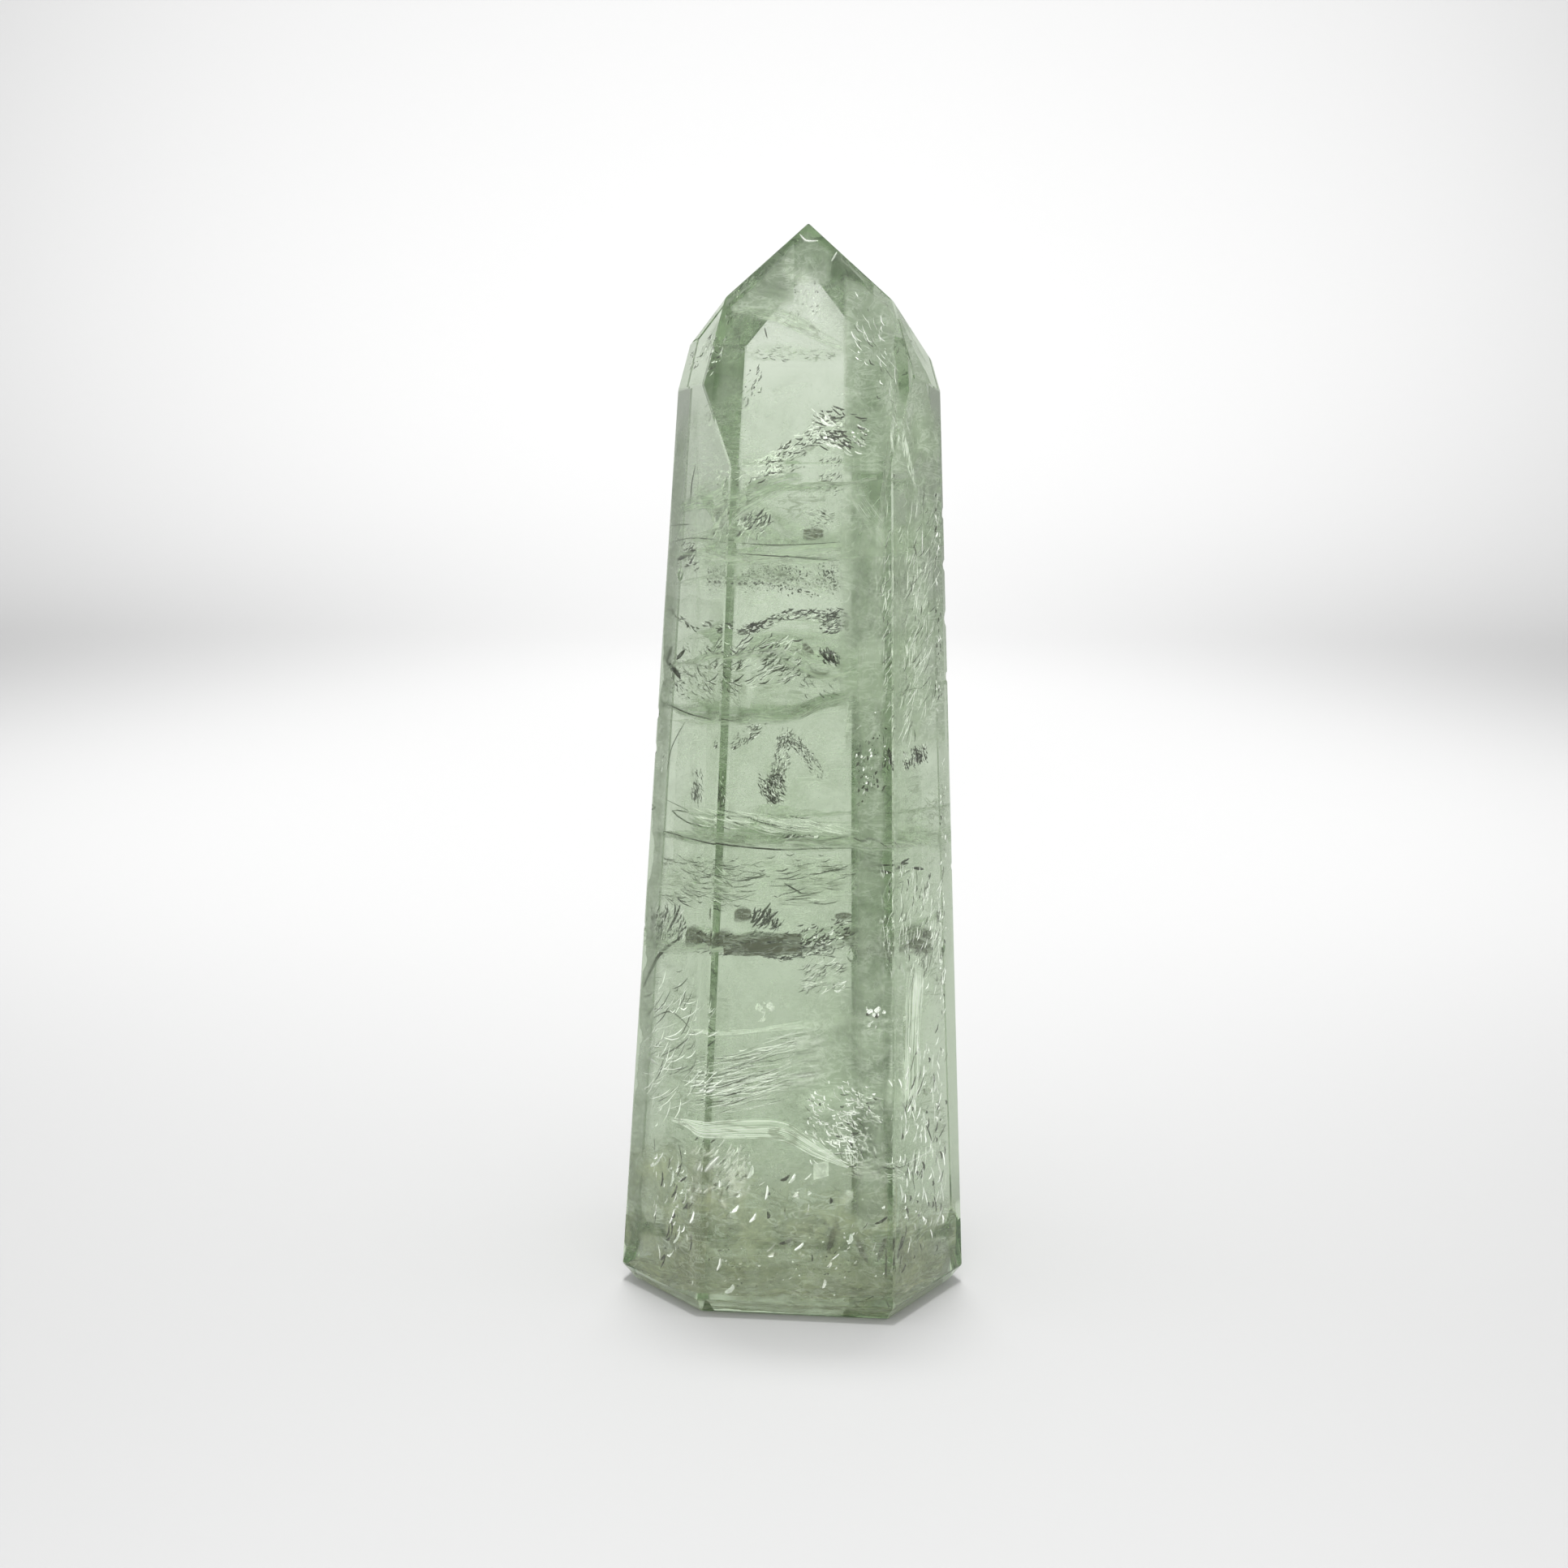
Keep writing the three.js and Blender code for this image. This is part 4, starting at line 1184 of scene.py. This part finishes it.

# Bright needles take the silvery crack finish, whose glow is painted light.
BRIGHT_NEEDLES = (
    (0.16, 0.08, (1.1, 39.4), (1.6, 38.9), (2.5, 38.9)),
    (0.14, 0.1, (3.8, 38.1), (3.4, 37.4)),
    (0.14, 0.1, (9.9, 18.2), (9.9, 16.4)),
    (0.16, 0.3, (3.8, 27.8), (4.8, 28.0), (5.7, 27.9)),
    (0.12, 0.2, (4.9, -27.6), (6.4, -27.7), (7.8, -28.0)),
    (0.09, 0.2, (4.8, -27.6), (6.3, -28.2), (7.7, -28.5)),
    (0.1, 0.2, (5.0, -27.4), (6.6, -27.1), (7.7, -27.3)),
    (0.14, 0.2, (4.9, -27.4), (5.6, -26.0), (6.0, -24.9)),
    (0.12, 0.2, (8.5, -27.3), (9.5, -26.8), (10.7, -26.1)),
    (0.25, 0.2, (10.9, -26.5), (11.1, -27.5), (11.4, -28.6)),
    (0.4, 0.1, (-5.7, -27.8), (-5.2, -27.2), (-4.6, -26.6)),
    (0.3, 0.1, (-5.8, -29.3), (-5.4, -29.0), (-4.9, -28.8)),
    (0.35, 0.1, (-4.5, -29.6), (-4.3, -30.1), (-4.1, -30.4)),
    (0.3, 0.1, (-5.6, -22.1), (-4.9, -21.8)),
    (0.09, 0.3, (-5.3, -20.7), (-2.1, -19.8), (2.3, -17.5)),
    (0.09, 0.3, (-5.3, -22.0), (-2.1, -21.1), (2.7, -18.8)),
    (0.07, 0.3, (-5.1, -21.3), (-1.5, -20.7), (2.0, -19.4)),
    (0.08, 0.3, (-5.2, -22.9), (-2.1, -22.4), (1.1, -21.2)),
    (0.08, 0.3, (-5.5, -23.6), (-2.7, -23.3), (0.8, -22.4)),
    (0.3, 0.2, (-9.8, -19.5), (-8.9, -20.1)),
)

# The share of its light that a sheet lets through, scattered, where it isn't the usual one.
USUAL_LIGHT_THROUGH = 0.9
LIGHT_THROUGH = {"healed veil": 0.6, "dusky band": 0.35, "dark veil": 0.1, "wrinkled curtain": 0.6}

# How many times the usual painted glow a sheet has, where it isn't once.
PAINTED_GLOW_TIMES = {"silvery feather": 2.0, "milky slab": 1.6, "bright flake": 2.2, "dark veil": 0.4,
            "edge shade": 0.3}


def veil_finishes(settings):
    """The finishes of the sheets, by name, as veil_finish takes them."""
    dark, light, milk = tone(settings.dark), tone(settings.light), tone(settings.milk)
    shade, hazy = tone(settings.mist, 0.4), tone(settings.mist, 0.52)
    thick, cloudy = settings.thick, settings.cloudiness
    dark_lines = (420.0, (0.7, 0.7, 2.6), 0.07, 0.72, tone(settings.deep))
    bright_lines = (520.0, (0.8, 0.8, 2.4), 0.06, 0.55, milk)
    flecks = (900.0, (1.0, 1.0, 1.0), 0.05, 0.45, milk)
    both_lines = (dark_lines, bright_lines)
    return {
        "healed veil": (dark, light, thick, (4.0, 14.0, 0.35, 0.65), (240.0, 0.25, 0.5), both_lines),
        "dusky band": (tone(settings.dark, 0.5), tone(settings.dark, 1.1), 0.85,
                       (3.0, 8.0, 0.35, 0.6), (300.0, 0.12, 0.42), both_lines),
        "dark veil": (tone(settings.deep, 0.45), tone(settings.deep, 1.4), 0.94,
                      (3.0, 7.0, 0.3, 0.55), (600.0, 0.12, 0.34), (bright_lines,)),
        "pale wisp": (light, milk, 0.55, (2.0, 30.0, 0.45, 0.62), (300.0, 0.35, 0.6), (bright_lines,)),
        "wrinkled curtain": (dark, light, 0.4, (500.0, 0.35, 0.65), (300.0, 0.32, 0.6), both_lines),
        "mottled haze": (tone(settings.mist, 0.33), hazy, cloudy,
                         (260.0, 0.32, 0.6), (400.0, 0.0, 0.35), (bright_lines, flecks)),
        "faint cloud": (shade, hazy, 0.45 * cloudy, (600.0, 0.3, 0.7), (420.0, 0.34, 0.7), (flecks,)),
        "drifting haze": (shade, hazy, 0.6 * cloudy,
                          (260.0, 0.35, 0.65), (210.0, 0.38, 0.64), (bright_lines, flecks)),
        # Painted shade along the left outline: a darkened copy of the mist.
        "edge shade": (tone(settings.mist, 0.28), shade, 0.9, (600.0, 0.3, 0.7), (700.0, 0.1, 0.4), ()),
        "foot haze": (tone(settings.earthy, 0.75), tone(settings.earthy, 1.9), cloudy,
                      (520.0, 0.3, 0.7), (260.0, 0.15, 0.5), both_lines),
        "silvery feather": (dark, milk, 0.95, (2.0, 46.0, 0.42, 0.56), (260.0, 0.0, 0.34), (dark_lines,)),
        "milky slab": (shade, milk, 0.85, (20.0, 2.0, 0.4, 0.6), (380.0, 0.15, 0.48), ()),
        "bright flake": (tone(settings.milk, 0.55), milk, 0.95, (900.0, 0.3, 0.7), (500.0, 0.0, 0.1), ()),
    }


def sheet_material(settings, finish):
    """The material of a finish, made when it is first asked for."""
    return bpy.data.materials.get(finish) or veil_finish(
        finish, *veil_finishes(settings)[finish], Roughness=0.75, IOR=1.3,
        Transmission_Weight=LIGHT_THROUGH.get(finish, USUAL_LIGHT_THROUGH),
        Emission_Strength=settings.painted_glow * PAINTED_GLOW_TIMES.get(finish, 1.0))


def grow_sheets(context, table, usual_finish):
    """Make each sheet of a table, with its own finish or the usual one."""
    sight = Sight(context)
    for seed, (name, facts) in enumerate(table.items(), start=1):
        facts = dict(facts)
        finish = facts.pop("finish", usual_finish)
        mesh = sheet_mesh(sight, name, seed, **facts)
        mesh.materials.append(sheet_material(context.scene.prasiolite_veils, finish))
        add_piece(name, mesh)


# Operators

class PRASIOLITE_OT_stone(bpy.types.Operator):
    """Give the stone its clear green quartz"""
    bl_idname = "prasiolite.stone"
    bl_label = "Clear quartz"

    def execute(self, context):
        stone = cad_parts[STONE]
        stone.data.materials.clear()
        stone.data.materials.append(clear_quartz(context.scene.prasiolite_quartz))
        return {"FINISHED"}


class PRASIOLITE_OT_veils(bpy.types.Operator):
    """Grow the healed cracks that cross the column"""
    bl_idname = "prasiolite.veils"
    bl_label = "Crossing veils"

    def execute(self, context):
        grow_sheets(context, VEILS, "healed veil")
        return {"FINISHED"}


class PRASIOLITE_OT_curtains(bpy.types.Operator):
    """Grow the upright creased sheets between the veils"""
    bl_idname = "prasiolite.curtains"
    bl_label = "Creased curtains"

    def execute(self, context):
        grow_sheets(context, CURTAINS, "wrinkled curtain")
        return {"FINISHED"}


class PRASIOLITE_OT_clouds(bpy.types.Operator):
    """Grow the hazes under the faces and across the panes"""
    bl_idname = "prasiolite.clouds"
    bl_label = "Clouds"

    def execute(self, context):
        grow_sheets(context, CLOUDS, "drifting haze")
        return {"FINISHED"}


class PRASIOLITE_OT_feathers(bpy.types.Operator):
    """Grow the bright feathers, slabs and single flakes"""
    bl_idname = "prasiolite.feathers"
    bl_label = "Feathers"

    def execute(self, context):
        grow_sheets(context, FEATHERS, "silvery feather")
        return {"FINISHED"}


class PRASIOLITE_OT_crackles(bpy.types.Operator):
    """Scatter the small cracks, dark on one side and silvery on the other"""
    bl_idname = "prasiolite.crackles"
    bl_label = "Crackles"

    def execute(self, context):
        settings = context.scene.prasiolite_crackles
        dark, bright = crack_finish(settings), mirror_finish(settings)
        sight = Sight(context)
        for seed, (name, facts) in enumerate(CRACKLES.items(), start=FIRST_CLUSTER_SEED):
            through, turn = facts["through"], math.radians(facts["turn"])
            guide = sheet_mesh(sight, name + "_guide", seed, facts["stations"], through, through, **GUIDE)
            add_piece(name, scattered(context, name, guide, {
                "Density": settings.amount * facts["crowd"] / MM ** 2,
                "Length": settings.length * facts["length"] * MM,
                "Slimness": settings.breadth * facts["slim"],
                "Spread": facts["spread"],
                "Tilt": facts["tilt"],
                "Bend": facts["bend"],
                "Grain": (math.cos(turn), 0.0, math.sin(turn)),
                "Shining share": facts["shine"],
                "Seed": seed,
                "Dull finish": dark,
                "Shining finish": bright}))
        return {"FINISHED"}


class PRASIOLITE_OT_needles(bpy.types.Operator):
    """Set the single needles, ticks and slits"""
    bl_idname = "prasiolite.needles"
    bl_label = "Needles and ticks"

    def execute(self, context):
        sight = Sight(context)
        for name, needles, finish in (("dark_needles", DARK_NEEDLES, "dark crack"),
                                      ("bright_needles", BRIGHT_NEEDLES, "silvery crack")):
            mesh = needle_mesh(sight, name, needles)
            mesh.materials.append(bpy.data.materials[finish])
            add_piece(name, mesh)
        return {"FINISHED"}


def sweep_mesh(width, back):
    """A floor that curves up into a backdrop, as one sheet facing the stone."""
    profile = [(-FLOOR_FRONT, -FLOOR_GAP), (0.0, -FLOOR_GAP)]
    for step in range(SWEEP_STEPS + 1):
        angle = math.pi / 2 * step / SWEEP_STEPS
        profile.append((back - SWEEP_BEND + SWEEP_BEND * math.sin(angle),
                        SWEEP_BEND - SWEEP_BEND * math.cos(angle) - FLOOR_GAP))
    profile.append((back, BACKDROP_HEIGHT))
    points = [(side * width / 2, y, z) for y, z in profile for side in (-1, 1)]
    faces = [(2 * i, 2 * i + 1, 2 * i + 3, 2 * i + 2) for i in range(len(profile) - 1)]
    mesh = bpy.data.meshes.new("studio_sweep")
    mesh.from_pydata(points, [], faces)
    for face in mesh.polygons:
        face.use_smooth = True
    return mesh


def hang_lamp(name, place, aim, opening, power):
    """A lamp with a soft-edged pool of light."""
    data = bpy.data.lights.new(name, "SPOT")
    data.spot_size = math.radians(opening)
    data.spot_blend = LAMP_EDGE
    data.shadow_soft_size = LAMP_SIZE
    data.energy = power
    lamp = bpy.data.objects.new(name, data)
    turn = (Vector(aim) - Vector(place)).to_track_quat("-Z", "Y")
    lamp.matrix_world = Matrix.LocRotScale(Vector(place), turn, None)
    bpy.context.scene.collection.objects.link(lamp)


def light_room(scene, strength):
    """An even light from all round."""
    world = bpy.data.worlds.new("soft room")
    world.use_nodes = True
    tree = world.node_tree
    connect(tree, tree.nodes["Background"], Color=(1.0, 1.0, 1.0, 1.0), Strength=strength)
    world.cycles.sampling_method = "NONE"
    scene.world = world


def set_camera(scene, settings):
    """The camera at the photograph's viewing angle."""
    data = bpy.data.cameras.new("view of the stone")
    data.lens = settings.lens
    data.clip_start = 0.005
    data.clip_end = 10.0
    camera = bpy.data.objects.new("view of the stone", data)
    camera.matrix_world = camera_pose(settings)
    scene.collection.objects.link(camera)
    scene.camera = camera


class PRASIOLITE_OT_stage(bpy.types.Operator):
    """Lay the pale floor and backdrop, hang the soft light and set the camera"""
    bl_idname = "prasiolite.stage"
    bl_label = "Stage"

    def execute(self, context):
        scene = context.scene
        settings = scene.prasiolite_stage
        sweep = bpy.data.objects.new(
            "studio_sweep", sweep_mesh(settings.backdrop_width, settings.backdrop_distance))
        sweep.data.materials.append(sweep_paper(settings))
        scene.collection.objects.link(sweep)
        light_room(scene, settings.surround)
        for name, (place, aim, opening, share) in LAMPS.items():
            hang_lamp(name, place, aim, opening, share * settings.lamp_power)
        set_camera(scene, settings)
        scene.view_settings.view_transform = "Standard"
        scene.cycles.max_bounces = 18
        scene.cycles.transmission_bounces = 18
        scene.cycles.glossy_bounces = 12
        scene.cycles.transparent_max_bounces = 48
        return {"FINISHED"}


class PRASIOLITE_PT_panel(bpy.types.Panel):
    """Lists what makes the stone"""
    bl_label = "Prasiolite point"
    bl_space_type = "VIEW_3D"
    bl_region_type = "UI"
    bl_category = "Prasiolite"

    def draw(self, context):
        for operator in OPERATORS:
            self.layout.operator(operator.bl_idname)
        for group, kind in SETTINGS.items():
            for name in kind.__annotations__:
                self.layout.prop(getattr(context.scene, group), name)


SETTINGS = {"prasiolite_quartz": QuartzSettings, "prasiolite_veils": VeilSettings,
            "prasiolite_crackles": CrackleSettings, "prasiolite_stage": StageSettings}
OPERATORS = (PRASIOLITE_OT_stone, PRASIOLITE_OT_veils, PRASIOLITE_OT_curtains, PRASIOLITE_OT_clouds,
             PRASIOLITE_OT_feathers, PRASIOLITE_OT_crackles, PRASIOLITE_OT_needles, PRASIOLITE_OT_stage)
CLASSES = (*SETTINGS.values(), *OPERATORS, PRASIOLITE_PT_panel)


def register():
    for each in CLASSES:
        bpy.utils.register_class(each)
    for group, kind in SETTINGS.items():
        setattr(bpy.types.Scene, group, bpy.props.PointerProperty(type=kind))


def unregister():
    for group in SETTINGS:
        delattr(bpy.types.Scene, group)
    for each in reversed(CLASSES):
        bpy.utils.unregister_class(each)


def main():
    register()
    bpy.ops.prasiolite.stone()
    bpy.ops.prasiolite.veils()
    bpy.ops.prasiolite.curtains()
    bpy.ops.prasiolite.clouds()
    bpy.ops.prasiolite.feathers()
    bpy.ops.prasiolite.crackles()
    bpy.ops.prasiolite.needles()
    bpy.ops.prasiolite.stage()


if __name__ == "__main__":
    main()
